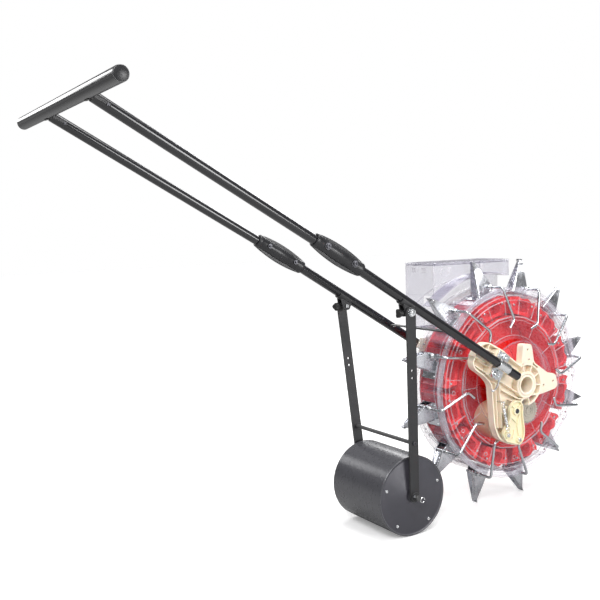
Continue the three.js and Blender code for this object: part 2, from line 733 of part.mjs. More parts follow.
// ---------------------------------------------------------------- press roller and its arms
// Saddle under the lower tube with an ear that carries the arm's hinge bolt.
function armLug() {
  const { x, y: z } = ARM_HINGE;
  const outline = [
    [x - 10, z + 2], [x - 6, z - 8], [x + 6, z - 8], [x + 11, z + 2], [x + 14, z + 14], [x - 16, z + 22],
  ];
  const ear = plate(outline, -116, -110.5);
  const cradle = swept([pointOnTube(x - 16, 1), pointOnTube(x + 14, 1)], roundSection(TUBE_RADIUS + 3, 16));
  const keep = ontoTube(box(-60, 60, -9.4, 20, -20, 0), x, -TUBE_Y);
  const channel = swept(
    [pointOnTube(x - 60, 1), pointOnTube(x + 60, 1)],
    roundSection(TUBE_RADIUS + GAP, 16),
  );
  return cut(join(intersect(cradle, keep), ear), channel, rod(x, z, 4.4, -130, -90, 12));
}

function armY(z) {
  const t = (ARM_HINGE.y - z) / (ARM_HINGE.y - ROLLER.y);
  return -(ARM_TOP_Y + (ARM_BOTTOM_Y - ARM_TOP_Y) * t);
}

function rollerArm() {
  const lean = new THREE.Vector2(ROLLER.x - ARM_HINGE.x, ROLLER.y - ARM_HINGE.y).normalize();
  const top = ARM_HINGE.clone().addScaledVector(lean, -10);
  const bottom = ROLLER.clone().addScaledVector(lean, 12);
  const path = [top, bottom].map((p) => new THREE.Vector3(p.x, armY(p.y), p.y));
  const w = ARM_WIDTH / 2;
  const t = ARM_THICKNESS / 2;
  const bar = swept(path, [[-t, -w], [t, -w], [t, w], [-t, w]]);
  const holeAt = (d, r) => {
    const p = ARM_HINGE.clone().addScaledVector(lean, d);
    return rod(p.x, p.y, r, -140, -70, 12);
  };
  const axleHole = rod(ROLLER.x, ROLLER.y, ROLLER_AXLE_RADIUS + 0.4, -140, -70, 14);
  return cut(bar, holeAt(0, 4.4), holeAt(116, 2.6), holeAt(131, 2.6), axleHole);
}

function tieRod() {
  const z = -77;
  const t = (ARM_HINGE.y - z) / (ARM_HINGE.y - ROLLER.y);
  const x = ARM_HINGE.x + (ROLLER.x - ARM_HINGE.x) * t;
  const reach = -armY(z) - ARM_THICKNESS / 2 - 0.6;
  return rod(x, z, 4, -reach, reach, 12);
}

function rollerDrum() {
  const inner = ROLLER_RADIUS - ROLLER_WALL;
  return tubeY(ROLLER.x, ROLLER.y, ROLLER_RADIUS, inner, -ROLLER_HALF_LENGTH, ROLLER_HALF_LENGTH, 36);
}

function rollerCap() {
  const outer = ROLLER_RADIUS - ROLLER_WALL - GAP;
  const bore = ROLLER_AXLE_RADIUS + 2 * GAP;
  return tubeY(ROLLER.x, ROLLER.y, outer, bore, -ROLLER_HALF_LENGTH + 1, -ROLLER_HALF_LENGTH + 5, 36);
}

function rollerAxle() {
  return rod(ROLLER.x, ROLLER.y, ROLLER_AXLE_RADIUS, -104, 104, 14);
}

// ---------------------------------------------------------------- assembly
function add(parent, name, geometry, [color, roughness, metalness]) {
  const mesh = new THREE.Mesh(geometry, new THREE.MeshStandardMaterial({ color, roughness, metalness }));
  geometry.computeVertexNormals();
  mesh.name = name;
  parent.add(mesh);
}

function addPair(parent, name, geometry, finish) {
  add(parent, `${name}_near`, geometry, finish);
  add(parent, `${name}_far`, mirrorY(geometry), finish);
}

function wheel() {
  const group = new THREE.Group();
  add(group, 'seed_drum', seedDrum(), FINISH.red);
  add(group, 'wheel_shell_near', nearShell(), FINISH.clear);
  add(group, 'wheel_shell_far', farShell(), FINISH.clear);
  add(group, 'hub_gear', hubGear(), FINISH.gear);
  const jaw = fixedJaw();
  const lever = tongue();
  for (let k = 0; k < MOUTH_COUNT; k++) {
    const mouth = new THREE.Group();
    const number = String(k + 1).padStart(2, '0');
    add(mouth, `fixed_jaw_${number}`, jaw, FINISH.zinc);
    add(mouth, `moving_jaw_${number}`, lever, FINISH.zinc);
    mouth.rotation.y = -mouthAngle(k);
    group.add(mouth);
  }
  return group;
}

function hub() {
  const group = new THREE.Group();
  add(group, 'axle_tube', axleTube(), FINISH.cream);
  add(group, 'bracket_near', bracketCasting(true), FINISH.cream);
  add(group, 'bracket_far', mirrorY(bracketCasting(false)), FINISH.cream);
  addPair(group, 'tube_clamp', tubeClamp(), FINISH.zinc);
  add(group, 'trip_arm', camArm(), FINISH.ivory);
  add(group, 'trip_pivot', camPivotPin(), FINISH.darkSteel);
  add(group, 'meter_housing', meterHousing(), FINISH.ivory);
  add(group, 'meter_shaft', meterShaft(), FINISH.gear);
  return group;
}

function hopper() {
  const group = new THREE.Group();
  add(group, 'hopper_body', hopperBody(), FINISH.clear);
  add(group, 'hopper_lid', hopperLid(), FINISH.clear);
  return group;
}

function pushFrame() {
  const group = new THREE.Group();
  add(group, 'handle_bar', crossbar(), FINISH.blackPaint);
  addPair(group, 'handle_cap', handleCap(), FINISH.blackPlastic);
  addPair(group, 'upper_tube', upperTube(), FINISH.blackPaint);
  addPair(group, 'lower_tube', lowerTube(), FINISH.blackPaint);
  addPair(group, 'coupler_outer', couplerHalf(true), FINISH.blackPlastic);
  addPair(group, 'coupler_inner', couplerHalf(false), FINISH.blackPlastic);
  add(group, 'brace_rod', braceRod(), FINISH.blackPaint);
  addPair(group, 'arm_lug', armLug(), FINISH.blackPaint);
  return group;
}

function pressRoller() {
  const group = new THREE.Group();
  addPair(group, 'roller_arm', rollerArm(), FINISH.blackPaint);
  add(group, 'tie_rod', tieRod(), FINISH.blackPaint);
  add(group, 'roller_drum', rollerDrum(), FINISH.rollerPaint);
  addPair(group, 'roller_cap', rollerCap(), FINISH.rollerPaint);
  add(group, 'roller_axle', rollerAxle(), FINISH.zinc);
  return group;
}

const group = new THREE.Group();
group.add(wheel(), hub(), hopper(), pushFrame(), pressRoller());

// The origin is the middle of the whole part on the ground.
const extent = new THREE.Box3().setFromObject(group, true);
group.position.set(-(extent.min.x + extent.max.x) / 2, 0, -extent.min.z);

export default group;
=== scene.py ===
"""Looks of the rolling seed planter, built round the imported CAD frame.

Shapes are drawn in millimetres from the wheel's centre: +X forward, +Y to the machine's left,
+Z up. Form.build scales them to metres and puts them in the row frame.
"""

import json
import math

import bmesh
import bpy
from mathutils import Matrix, Vector


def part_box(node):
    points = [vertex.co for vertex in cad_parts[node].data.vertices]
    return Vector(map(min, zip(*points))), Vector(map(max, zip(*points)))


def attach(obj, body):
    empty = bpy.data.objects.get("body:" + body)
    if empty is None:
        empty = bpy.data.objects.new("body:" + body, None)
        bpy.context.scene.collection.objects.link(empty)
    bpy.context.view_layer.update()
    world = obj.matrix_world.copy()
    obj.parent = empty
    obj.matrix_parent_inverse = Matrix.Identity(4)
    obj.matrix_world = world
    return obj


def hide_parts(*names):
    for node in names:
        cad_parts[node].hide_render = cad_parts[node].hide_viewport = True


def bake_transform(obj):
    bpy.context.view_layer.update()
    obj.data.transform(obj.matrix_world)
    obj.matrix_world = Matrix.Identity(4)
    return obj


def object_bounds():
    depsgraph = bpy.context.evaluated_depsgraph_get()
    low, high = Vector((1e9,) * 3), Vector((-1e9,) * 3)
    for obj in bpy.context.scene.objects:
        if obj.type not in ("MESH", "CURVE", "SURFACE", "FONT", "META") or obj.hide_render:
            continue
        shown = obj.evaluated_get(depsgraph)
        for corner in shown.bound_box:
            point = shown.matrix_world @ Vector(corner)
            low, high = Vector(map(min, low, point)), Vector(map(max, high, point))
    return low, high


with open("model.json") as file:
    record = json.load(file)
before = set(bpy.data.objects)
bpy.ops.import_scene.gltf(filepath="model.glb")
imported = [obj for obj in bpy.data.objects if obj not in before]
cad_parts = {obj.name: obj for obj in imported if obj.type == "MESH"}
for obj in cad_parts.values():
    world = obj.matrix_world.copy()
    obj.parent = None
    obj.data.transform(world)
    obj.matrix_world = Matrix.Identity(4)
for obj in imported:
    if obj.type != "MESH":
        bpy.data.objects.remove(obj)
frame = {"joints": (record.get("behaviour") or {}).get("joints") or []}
cad_low, cad_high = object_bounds()

MM = 0.001
TAU = 2 * math.pi


# ---------------------------------------------------------------- places from the frame
def middle(node):
    low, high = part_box(node)
    return (low + high) / 2


WHEEL = middle("wheel_shell_near")
WHEEL.y = 0


def local(point):
    """A row-frame point in millimetres from the wheel's centre."""
    return (point - WHEEL) / MM


ROLLER = local(middle("roller_drum"))
BAR = local(middle("handle_bar"))
BAR_HALF = (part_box("handle_bar")[1].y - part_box("handle_bar")[0].y) / 2 / MM
JOINTS = {j["name"]: j for j in frame["joints"]}
ARM_HINGE = local(Vector(JOINTS["arms_swing"]["pos_m"]))
TRIP_PIVOT = local(Vector(JOINTS["trip_swing"]["pos_m"]))
PINION = local(Vector(JOINTS["meter_spin"]["pos_m"]))

MOUTHS = 12
TIP = 281.0
RIM = 213.0
SEAT = 199.0  # flat faces of the wheel's rim that carry the mouths
SHELL_OPENING = 97.0
PIN_R = 216.5
PIN_LAG = math.radians(5.84)
PIN = Vector((PIN_R * math.cos(PIN_LAG), 0, -PIN_R * math.sin(PIN_LAG)))
WIRE = 3.0  # radius of the lever wires
TUBE_R = 9.5
TUBE_Y = 107.0
BAR_TUBE_Y = 118.0
TUBE_SLOPE = math.tan(math.radians(31.6))
COUPLER = Vector((-497, 0, 304.6))
FRONT = -90.0  # the near bracket's front face
BACK = -72.0
BRACKET_FLOOR = -75.6  # just inside the floor's front face, where what stands on it begins
CASING_FACE = -46.02  # just off the clear casing's outer face, where its ribs begin


def mouth_angle(k):
    return TAU / MOUTHS * (k + 0.5)


def tube_z(x):
    """Height of the lower tubes' middle line."""
    return -1.2 - x * TUBE_SLOPE


# ---------------------------------------------------------------- materials
def connect(tree, node, inputs):
    """Sets each input to a constant, or links another node's output to it."""
    for name, value in inputs.items():
        if isinstance(value, bpy.types.NodeSocket):
            tree.links.new(value, node.inputs[name])
        else:
            node.inputs[name].default_value = value
    return node


def add(tree, kind, inputs=(), **properties):
    node = tree.nodes.new("ShaderNode" + kind)
    for name, value in properties.items():
        setattr(node, name, value)
    return connect(tree, node, dict(inputs))


def new_material(name):
    mat = bpy.data.materials.new(name)
    mat.use_nodes = True
    return mat, mat.node_tree, mat.node_tree.nodes["Principled BSDF"]


def noise(tree, coords, scale, detail):
    return add(tree, "TexNoise", {"Scale": scale, "Detail": detail, "Vector": coords}).outputs["Fac"]


def ramp(tree, factor, *stops):
    node = add(tree, "ValToRGB", {"Fac": factor})
    for element, (position, colour) in zip(node.color_ramp.elements, stops):
        element.position = position
        element.color = colour
    return node.outputs["Color"]


def grey(level):
    return (level, level, level, 1)


def edge_wear(tree, tint, colour):
    """Lightens the sharpest edges, where paint or plating rubs through."""
    pointiness = add(tree, "NewGeometry").outputs["Pointiness"]
    mask = ramp(tree, pointiness, (0.53, grey(0)), (0.6, grey(1)))
    mix = add(tree, "Mix", data_type="RGBA")
    return connect(tree, mix, {"Factor": mask, "A": tint, "B": (*colour, 1)}).outputs["Result"]


def finish(name, colour, rough, metal=0.0, **extra):
    """A Principled material whose colour, roughness and bump vary through fine noise."""
    mat, tree, shader = new_material(name)
    coords = add(tree, "TexCoord").outputs["Object"]
    spread = extra.get("vary", 0.12)
    darker = [c * (1 - spread) for c in colour]
    lighter = [min(1.0, c * (1 + spread)) for c in colour]
    broad = noise(tree, coords, extra.get("broad", 30.0), 3)
    tint = ramp(tree, broad, (0.3, (*darker, 1)), (0.7, (*lighter, 1)))
    if "wear" in extra:
        tint = edge_wear(tree, tint, extra["wear"])
    swing = extra.get("gloss_vary", 0.06)
    gloss = add(tree, "MapRange", {"Value": noise(tree, coords, 120.0, 4), "From Min": 0.3, "From Max": 0.7,
                                   "To Min": max(0.02, rough - swing), "To Max": rough + swing})
    grain = noise(tree, coords, extra.get("fine", 900.0), 2)
    bump = add(tree, "Bump", {"Strength": extra.get("bump", 0.08), "Distance": 0.0003, "Height": grain})
    connect(tree, shader, {
        "Base Color": tint,
        "Metallic": metal,
        "Roughness": gloss.outputs["Result"],
        "Normal": bump.outputs["Normal"],
        "Coat Weight": extra.get("coat", 0.0),
        "Coat Roughness": extra.get("coat_rough", 0.1),
        "Subsurface Weight": extra.get("subsurface", 0.0),
        "Subsurface Scale": 0.002,
    })
    return mat


def clear_finish(name, colour, face_on, edge_on, haze=0.0):
    """Clear moulded plastic: nearly open seen square on, denser towards its edges."""
    mat, tree, shader = new_material(name)
    coords = add(tree, "TexCoord").outputs["Object"]
    flow = noise(tree, coords, 22.0, 3)
    slant = add(tree, "LayerWeight", {"Blend": 0.5}).outputs["Facing"]
    steeper = add(tree, "Math", {0: slant, 1: 2.6}, operation="POWER").outputs["Value"]
    density = add(tree, "MapRange", {"Value": steeper, "To Min": face_on, "To Max": edge_on})
    cloud = add(tree, "Math", {0: flow, 1: haze, 2: density.outputs["Result"]}, operation="MULTIPLY_ADD")
    ripple = noise(tree, coords, 45.0, 2)
    bump = add(tree, "Bump", {"Strength": 0.25, "Distance": 0.0008, "Height": ripple})
    connect(tree, shader, {
        "Base Color": (*colour, 1),
        "Roughness": ramp(tree, flow, (0.35, grey(0.05)), (0.7, grey(0.16))),
        "Alpha": cloud.outputs["Value"],
        "Normal": bump.outputs["Normal"],
        "Specular IOR Level": 0.9,
        "IOR": 1.58,
        "Coat Weight": 0.6,
        "Coat Roughness": 0.03,
    })
    return mat


BLACK = finish("gloss_black_paint", (0.008, 0.008, 0.01), 0.2, coat=0.5, coat_rough=0.13, gloss_vary=0.02,
               bump=0.004, fine=60)
FLAT_BLACK = finish("satin_black_paint", (0.02, 0.02, 0.022), 0.38, wear=(0.1, 0.1, 0.1), bump=0.1)
BLACK_PLASTIC = finish("black_plastic", (0.014, 0.014, 0.016), 0.36, coat=0.1, coat_rough=0.25, bump=0.02,
                       fine=1400)
RUBBER = finish("black_knob_plastic", (0.014, 0.014, 0.014), 0.5, bump=0.2, fine=1800)
GREY_PAINT = finish("roller_paint", (0.036, 0.036, 0.045), 0.3, metal=0.15, vary=0.08, bump=0.03,
                    coat=0.25, coat_rough=0.2, fine=1400, wear=(0.12, 0.12, 0.13))
CAP_PAINT = finish("roller_cap_paint", (0.052, 0.051, 0.062), 0.42, metal=0.1, vary=0.08, bump=0.03,
                   fine=1400, wear=(0.16, 0.16, 0.17))
ZINC = finish("zinc_plate", (0.66, 0.68, 0.7), 0.24, metal=1.0, vary=0.1, gloss_vary=0.1, bump=0.12,
              broad=60, fine=1500, wear=(0.9, 0.91, 0.92))
LEVER_ZINC = finish("zinc_wire", (0.55, 0.57, 0.6), 0.2, metal=1.0, vary=0.12, gloss_vary=0.08, bump=0.1,
                    broad=50, fine=1500, wear=(0.85, 0.86, 0.88))
SHEET_ZINC = finish("zinc_sheet", (0.62, 0.63, 0.67), 0.24, metal=1.0, vary=0.12, gloss_vary=0.07,
                    bump=0.02, broad=45, fine=1200, wear=(0.85, 0.86, 0.87))
DARK_STEEL = finish("dark_steel", (0.1, 0.1, 0.11), 0.35, metal=1.0, bump=0.1)
CREAM = finish("cream_plastic", (0.88, 0.77, 0.62), 0.42, vary=0.04, subsurface=0.15, bump=0.08,
               gloss_vary=0.05, wear=(0.95, 0.84, 0.68))
IVORY = finish("ivory_plastic", (0.83, 0.75, 0.52), 0.4, vary=0.05, subsurface=0.15, bump=0.08,
               gloss_vary=0.05, wear=(0.93, 0.87, 0.62))
GEAR = finish("gear_plastic", (0.5, 0.46, 0.36), 0.45, vary=0.06, bump=0.1)
RED = finish("red_plastic", (0.95, 0.022, 0.018), 0.28, vary=0.07, coat=0.25, bump=0.03, fine=260,
             subsurface=0.1)
DEEP_RED = finish("deep_red_plastic", (0.82, 0.014, 0.016), 0.3, vary=0.1, coat=0.25, bump=0.06,
                  subsurface=0.08)
CLEAR = clear_finish("clear_plastic", (0.55, 0.5, 0.62), 0.012, 0.85, 0.018)
# Painted highlight: the ribs' clear plastic is made near white and much denser than the shell's, so ribs,
# ledges, beads, tabs and hinge barrels show as bright glint lines.
CLEAR_RIB_GLINT = clear_finish("clear_plastic_ribs_painted_glint", (0.93, 0.9, 0.97), 0.16, 0.95, 0.06)
CLEAR_BAND = clear_finish("clear_plastic_band", (0.44, 0.38, 0.5), 0.07, 0.85, 0.05)
HOPPER_CLEAR = clear_finish("hopper_plastic", (0.36, 0.33, 0.5), 0.07, 0.85, 0.05)
LID_CLEAR = clear_finish("lid_plastic", (0.6, 0.58, 0.7), 0.06, 0.8, 0.04)


# ---------------------------------------------------------------- mesh building
class Form:
    """A mesh under construction, in millimetres."""

    def __init__(self):
        self.bm = bmesh.new()

    def place(self, verts, at):
        if at is not None:
            bmesh.ops.transform(self.bm, matrix=at, verts=verts)
        return self

    def prism(self, outline, y0, y1, holes=(), at=None):
        """A plate: outline and holes in XZ, thickness along Y."""
        loops = [[self.bm.verts.new((x, y0, z)) for x, z in loop] for loop in (outline, *holes)]
        edges = [self.bm.edges.new((loop[i], loop[i - 1])) for loop in loops for i in range(len(loop))]
        filled = bmesh.ops.triangle_fill(self.bm, use_beauty=True, edges=edges)
        near_faces = [g for g in filled["geom"] if isinstance(g, bmesh.types.BMFace)]
        if not near_faces:
            raise ValueError("the outline crosses itself")
        far = {v: self.bm.verts.new((v.co.x, y1, v.co.z)) for loop in loops for v in loop}
        for face in near_faces:
            self.bm.faces.new([far[v] for v in face.verts])
        for loop in loops:
            for i, v in enumerate(loop):
                before = loop[i - 1]
                self.bm.faces.new((before, v, far[v], far[before]))
        return self.place([v for pair in far.items() for v in pair], at)

    def turned(self, profile, steps=48, closed=False, at=None, between=(0, 360)):
        """Revolves (radius, y) points round the Y axis; closed joins the last point to the first."""
        whole = abs(between[1] - between[0]) >= 360
        count = steps if whole else steps + 1
        rings = []
        for i in range(count):
            angle = math.radians(between[0] + (between[1] - between[0]) * i / steps)
            c, s = math.cos(angle), math.sin(angle)
            rings.append([self.bm.verts.new((r * c, y, r * s)) for r, y in profile])
        size = len(profile)
        spans = size if closed else size - 1
        for i in range(steps):
            a, b = rings[i], rings[(i + 1) % count]
            for j in range(spans):
                n = (j + 1) % size
                self.quad(a[j], a[n], b[n], b[j])
        if not whole:
            self.bm.faces.new(rings[0])
            self.bm.faces.new(rings[-1])
        verts = [v for ring in rings for v in ring]
        merged = bmesh.ops.find_doubles(self.bm, verts=verts, dist=1e-5)["targetmap"]
        bmesh.ops.weld_verts(self.bm, targetmap=merged)
        return self.place([v for v in verts if v.is_valid], at)

    def quad(self, *corners):
        distinct = []
        for v in corners:
            if all((v.co - o.co).length > 1e-6 for o in distinct):
                distinct.append(v)
        if len(distinct) > 2:
            self.bm.faces.new(distinct)

    def sweep(self, path, section, at=None):
        """Carries a section of (side, up) points along a path, with flat ends."""
        points = [Vector(p) for p in path]
        tangents = []
        for i in range(len(points)):
            ahead = points[min(i + 1, len(points) - 1)] - points[max(i - 1, 0)]
            tangents.append(ahead.normalized())
        side = tangents[0].orthogonal().normalized()
        level = Vector((0, 1, 0))
        if abs(tangents[0].dot(level)) < 0.9:
            side = (level - tangents[0] * level.dot(tangents[0])).normalized()
        rings = []
        for i, (point, tangent) in enumerate(zip(points, tangents)):
            if i:
                side = (tangents[i - 1].rotation_difference(tangent) @ side).normalized()
            up = side.cross(tangent)
            stretch = 1.0
            if 0 < i < len(points) - 1:
                turn = (points[i] - points[i - 1]).normalized().dot(tangent)
                stretch = 1 / max(turn, 0.6)
            rings.append([self.bm.verts.new(point + side * (u * stretch) + up * v) for u, v in section])
        for a, b in zip(rings, rings[1:]):
            for j in range(len(section)):
                n = (j + 1) % len(section)
                self.bm.faces.new((a[j], a[n], b[n], b[j]))
        self.bm.faces.new(rings[0])
        self.bm.faces.new(rings[-1])
        return self.place([v for ring in rings for v in ring], at)

    def loft(self, loops, at=None):
        """Skins closed loops of 3-D points that all have the same count, with flat ends."""
        rings = [[self.bm.verts.new(p) for p in loop] for loop in loops]
        for a, b in zip(rings, rings[1:]):
            for j in range(len(a)):
                n = (j + 1) % len(a)
                self.bm.faces.new((a[j], a[n], b[n], b[j]))
        self.bm.faces.new(rings[0])
        self.bm.faces.new(rings[-1])
        return self.place([v for ring in rings for v in ring], at)

    def block(self, x0, x1, y0, y1, z0, z1, at=None):
        return self.prism(rect(x0, x1, z0, z1), y0, y1, at=at)

    def build(self, name, material, body, replaces=(), bevel=0.0, smooth=35, segments=2):
        """Makes the piece, in metres, riding on its CAD body, or on none when no body is given."""
        bmesh.ops.recalc_face_normals(self.bm, faces=self.bm.faces)
        self.bm.transform(Matrix.Translation(WHEEL) @ Matrix.Scale(MM, 4))
        mesh = bpy.data.meshes.new(name)
        self.bm.to_mesh(mesh)
        self.bm.free()
        mesh.materials.append(material)
        mesh.shade_smooth()
        mesh.set_sharp_from_angle(angle=math.radians(smooth))
        obj = bpy.data.objects.new(name, mesh)
        bpy.context.scene.collection.objects.link(obj)
        if bevel:
            edge = obj.modifiers.new("edges", "BEVEL")
            edge.width = bevel * MM
            edge.segments = segments
            edge.limit_method = "ANGLE"
            edge.angle_limit = math.radians(32)
            edge.use_clamp_overlap = False
            edge.harden_normals = True
        if body:
            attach(obj, body)
        if replaces:
            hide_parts(*replaces)
        return obj


def circle(x, z, radius, sides=32, start=0.0):
    return [(x + radius * math.cos(start + TAU * i / sides), z + radius * math.sin(start + TAU * i / sides))
            for i in range(sides)]


def rect(x0, x1, z0, z1):
    return [(x0, z0), (x1, z0), (x1, z1), (x0, z1)]


def arc(radius, start, end, steps, x=0.0, z=0.0):
    """Points round (x, z) from one angle to another, in degrees."""
    angles = [math.radians(start + (end - start) * i / steps) for i in range(steps + 1)]
    return [(x + radius * math.cos(a), z + radius * math.sin(a)) for a in angles]


def section(radius, sides=16):
    return circle(0, 0, radius, sides)


def shift(x, y, z):
    return Matrix.Translation((x, y, z))


def rotate(axis, degrees):
    return Matrix.Rotation(math.radians(degrees), 4, axis)


def rounded(points, radius, steps=5, closed=True):
    """Rounds the corners of an outline or path of 2-D or 3-D points."""
    corners = [Vector(p) for p in points]
    out = []
    for i, corner in enumerate(corners):
        if not closed and i in (0, len(corners) - 1):
            out.append(corner)
            continue
        before, after = corners[i - 1], corners[(i + 1) % len(corners)]
        reach_in = min(radius, (before - corner).length * 0.45)
        reach_out = min(radius, (after - corner).length * 0.45)
        start = corner + (before - corner).normalized() * reach_in
        end = corner + (after - corner).normalized() * reach_out
        for s in range(steps + 1):
            t = s / steps
            out.append(start * (1 - t) ** 2 + corner * 2 * t * (1 - t) + end * t**2)
    return [tuple(p) for p in out]


def inset(outline, distance):
    """The same outline drawn inwards by a distance (outwards if negative)."""
    points = [Vector(p) for p in outline]
    area = sum(a.x * b.y - b.x * a.y for a, b in zip(points, points[1:] + points[:1]))
    turn = 1 if area > 0 else -1
    out = []
    for i, p in enumerate(points):
        before = (p - points[i - 1]).normalized()
        after = (points[(i + 1) % len(points)] - p).normalized()
        normal = Vector((-(before.y + after.y), before.x + after.x)) * turn
        if normal.length < 1e-6:
            normal = Vector((-after.y, after.x)) * turn
        normal.normalize()
        lean = Vector((-after.y, after.x)).dot(normal) * turn
        out.append(tuple(p + normal * (distance / max(lean, 0.5))))
    return out


def facing(point, normal):
    """Moves a shape whose front looks along -Y to a point, looking along a normal."""
    turn = Vector((0, -1, 0)).rotation_difference(Vector(normal).normalized())
    return Matrix.Translation(Vector(point)) @ turn.to_matrix().to_4x4()


def along(start, end):
    """Moves a shape drawn from y=0 along +Y so that it runs from start towards end."""
    direction = (Vector(end) - Vector(start)).normalized()
    turn = Vector((0, 1, 0)).rotation_difference(direction)
    return Matrix.Translation(Vector(start)) @ turn.to_matrix().to_4x4()


def spoke(angle):
    """Turns a shape drawn pointing along +X to an angle of the wheel."""
    return Matrix.Rotation(-angle, 4, "Y")


def axes(x_to, y_to, z_to):
    """Turns a shape so that its X, Y and Z directions become the ones given."""
    return Matrix((x_to, y_to, z_to)).transposed().to_4x4()


def strip(start, end, width):
    """A straight strip between two points of the XZ plane."""
    a, b = Vector(start), Vector(end)
    along_it = (b - a).normalized()
    across = Vector((-along_it.y, along_it.x)) * width / 2
    return [tuple(a + across), tuple(b + across), tuple(b - across), tuple(a - across)]


LAY_FLAT = axes((1, 0, 0), (0, 0, -1), (0, 1, 0))  # a plate drawn in XZ lies in XY, its front face up
SIDES = {"near": 1, "far": -1}
MIRROR = Matrix.Scale(-1, 4, (0, 1, 0))
FLIP = {"near": Matrix(), "far": MIRROR}  # pieces are drawn on the near side
TUBE_TILT = Matrix.Rotation(math.atan(TUBE_SLOPE), 4, "Y")


# ---------------------------------------------------------------- fasteners
def cross_screw(form, at, radius, height=None):
    """Pan-head screw with a cross recess, its head standing towards -Y."""
    height = height or radius * 0.7
    bar, arm = radius * 0.16, radius * 0.6
    cross = [(bar, bar), (bar, arm), (-bar, arm), (-bar, bar), (-arm, bar), (-arm, -bar),
             (-bar, -bar), (-bar, -arm), (bar, -arm), (bar, -bar), (arm, -bar), (arm, bar)]
    form.prism(circle(0, 0, radius * 0.82, 20), -height, -height * 0.4, [cross], at=at)
    form.turned([(0, 0), (radius, 0), (radius, -height * 0.35), (radius * 0.95, -height * 0.7),
                 (radius * 0.82, -height * 0.97), (radius * 0.8, -height * 0.4), (0, -height * 0.4)],
                20, at=at)


def nut(form, at, radius, height, bolt):
    """Hexagon nut with the bolt's domed end standing out of it."""
    form.prism(circle(0, 0, radius, 6), -height, 0, at=at)
    form.turned([(0, -height - bolt * 1.3), (bolt * 0.75, -height - bolt * 1.2),
                 (bolt, -height - bolt * 0.9), (bolt, 0), (0, 0)], 20, at=at)


def washer(form, at, radius, bore, height=1.2):
    form.turned([(bore, 0), (radius, 0), (radius, -height), (bore, -height)], 28, closed=True, at=at)


# ---------------------------------------------------------------- clear casing of the wheel
def clear_casing():
    shell = Form()
    shell.turned([(SHELL_OPENING, -43.3), (RIM - 0.6, -43.3), (RIM, -44), (RIM, -49.4), (RIM - 0.6, -50),
                  (RIM - 4, -50), (RIM - 5, -49), (RIM - 6, -46), (SHELL_OPENING + 3, -46),
                  (SHELL_OPENING + 3, -48.6), (SHELL_OPENING + 2.6, -49), (SHELL_OPENING, -49)],
                 144, closed=True)
    shell.build("casing_near", CLEAR, "wheel", ["wheel_shell_near"])
    ribs = Form()
    for radius, width, height in ((RIM - 10, 1.2, 1.4), (193, 1.6, 1.6), (183, 1.2, 2.4), (105, 1.2, 1.6)):
        ring_rib(ribs, radius, width, height)
    for flat, width in ((147, 2.2), (139, 0.9)):
        corner = flat / math.cos(TAU / 48)
        hole = circle(0, 0, corner - width, 24)
        ribs.prism(circle(0, 0, corner, 24), -46 - width * 1.3, CASING_FACE, [hole])
    for k in range(MOUTHS):
        turn = spoke(TAU / MOUTHS * k)
        ribs.block(108, 144, -47, CASING_FACE, -0.55, 0.55, at=turn)
        ribs.block(150, 182, -48.2, CASING_FACE, -0.7, 0.7, at=spoke(TAU / MOUTHS * k + 0.11))
        ribs.block(150, 192, -47.4, CASING_FACE, -0.6, 0.6, at=spoke(TAU / MOUTHS * k - 0.14))
        ribs.prism(circle(0, 0, 4.6, 20), -47.6, CASING_FACE, [circle(0, 0, 3.6, 16)],
                   at=Matrix.Translation(polar(171, TAU / MOUTHS * k + 0.02)))
    ribs.build("casing_near_ribs", CLEAR_RIB_GLINT, "wheel")
    far = Form()
    far.turned([(186, 41.8), (RIM - 0.6, 41.8), (RIM, 42.4), (RIM, 47.4), (RIM - 0.6, 48), (RIM - 4, 48),
                (RIM - 5, 47), (RIM - 6, 45), (186.6, 45), (186, 44.4)], 144, closed=True)
    far.build("casing_far", CLEAR_BAND, "wheel", ["wheel_shell_far"])


def ring_rib(form, radius, width, height):
    half = width / 2
    form.turned([(radius - half, CASING_FACE), (radius + half, CASING_FACE),
                 (radius + half * 0.6, -46 - height), (radius - half * 0.6, -46 - height)],
                144, closed=True)


def polar(radius, angle, y=0.0):
    return Vector((radius * math.cos(angle), y, radius * math.sin(angle)))


def seed_window():
    """Opening in a mouth's seat that seed falls through."""
    return rounded(rect(-9, 9, -9, 9), 2, 3)


def rim_band():
    """Clear twelve-sided wall between the two sides, with a seat for every mouth."""
    band = Form()
    half = SEAT * math.tan(TAU / MOUTHS / 2)
    for k in range(MOUTHS):
        turn = spoke(mouth_angle(k)) @ rotate("Z", 90)
        # drawn flat: x across the wheel's width, z along the rim, y through the wall
        slots = [rounded(rect(x - 2, x + 2, z, z + 17), 1.6, 3) for x in (-33, 31) for z in (-38, 20)]
        band.prism(rect(-43, 41, -half, half), -SEAT, -SEAT + 3, [seed_window(), *slots], at=turn)
    band.build("casing_band", CLEAR_BAND, "wheel", bevel=0.4)
    ledges = Form()
    for y0, y1, outer, inner in ((-43.2, -40.2, RIM - 1.2, SEAT), (38.4, 41.6, RIM - 1.2, SEAT),
                                 (-24.5, -23.3, RIM - 8.6, SEAT + 1), (23.3, 24.5, RIM - 8.6, SEAT + 1)):
        hole = circle(0, 0, inner / math.cos(TAU / 24) + 0.1, MOUTHS)
        ledges.prism(circle(0, 0, outer, 144), y0, y1, [hole])
    ledges.build("casing_ledges", CLEAR_RIB_GLINT, "wheel")


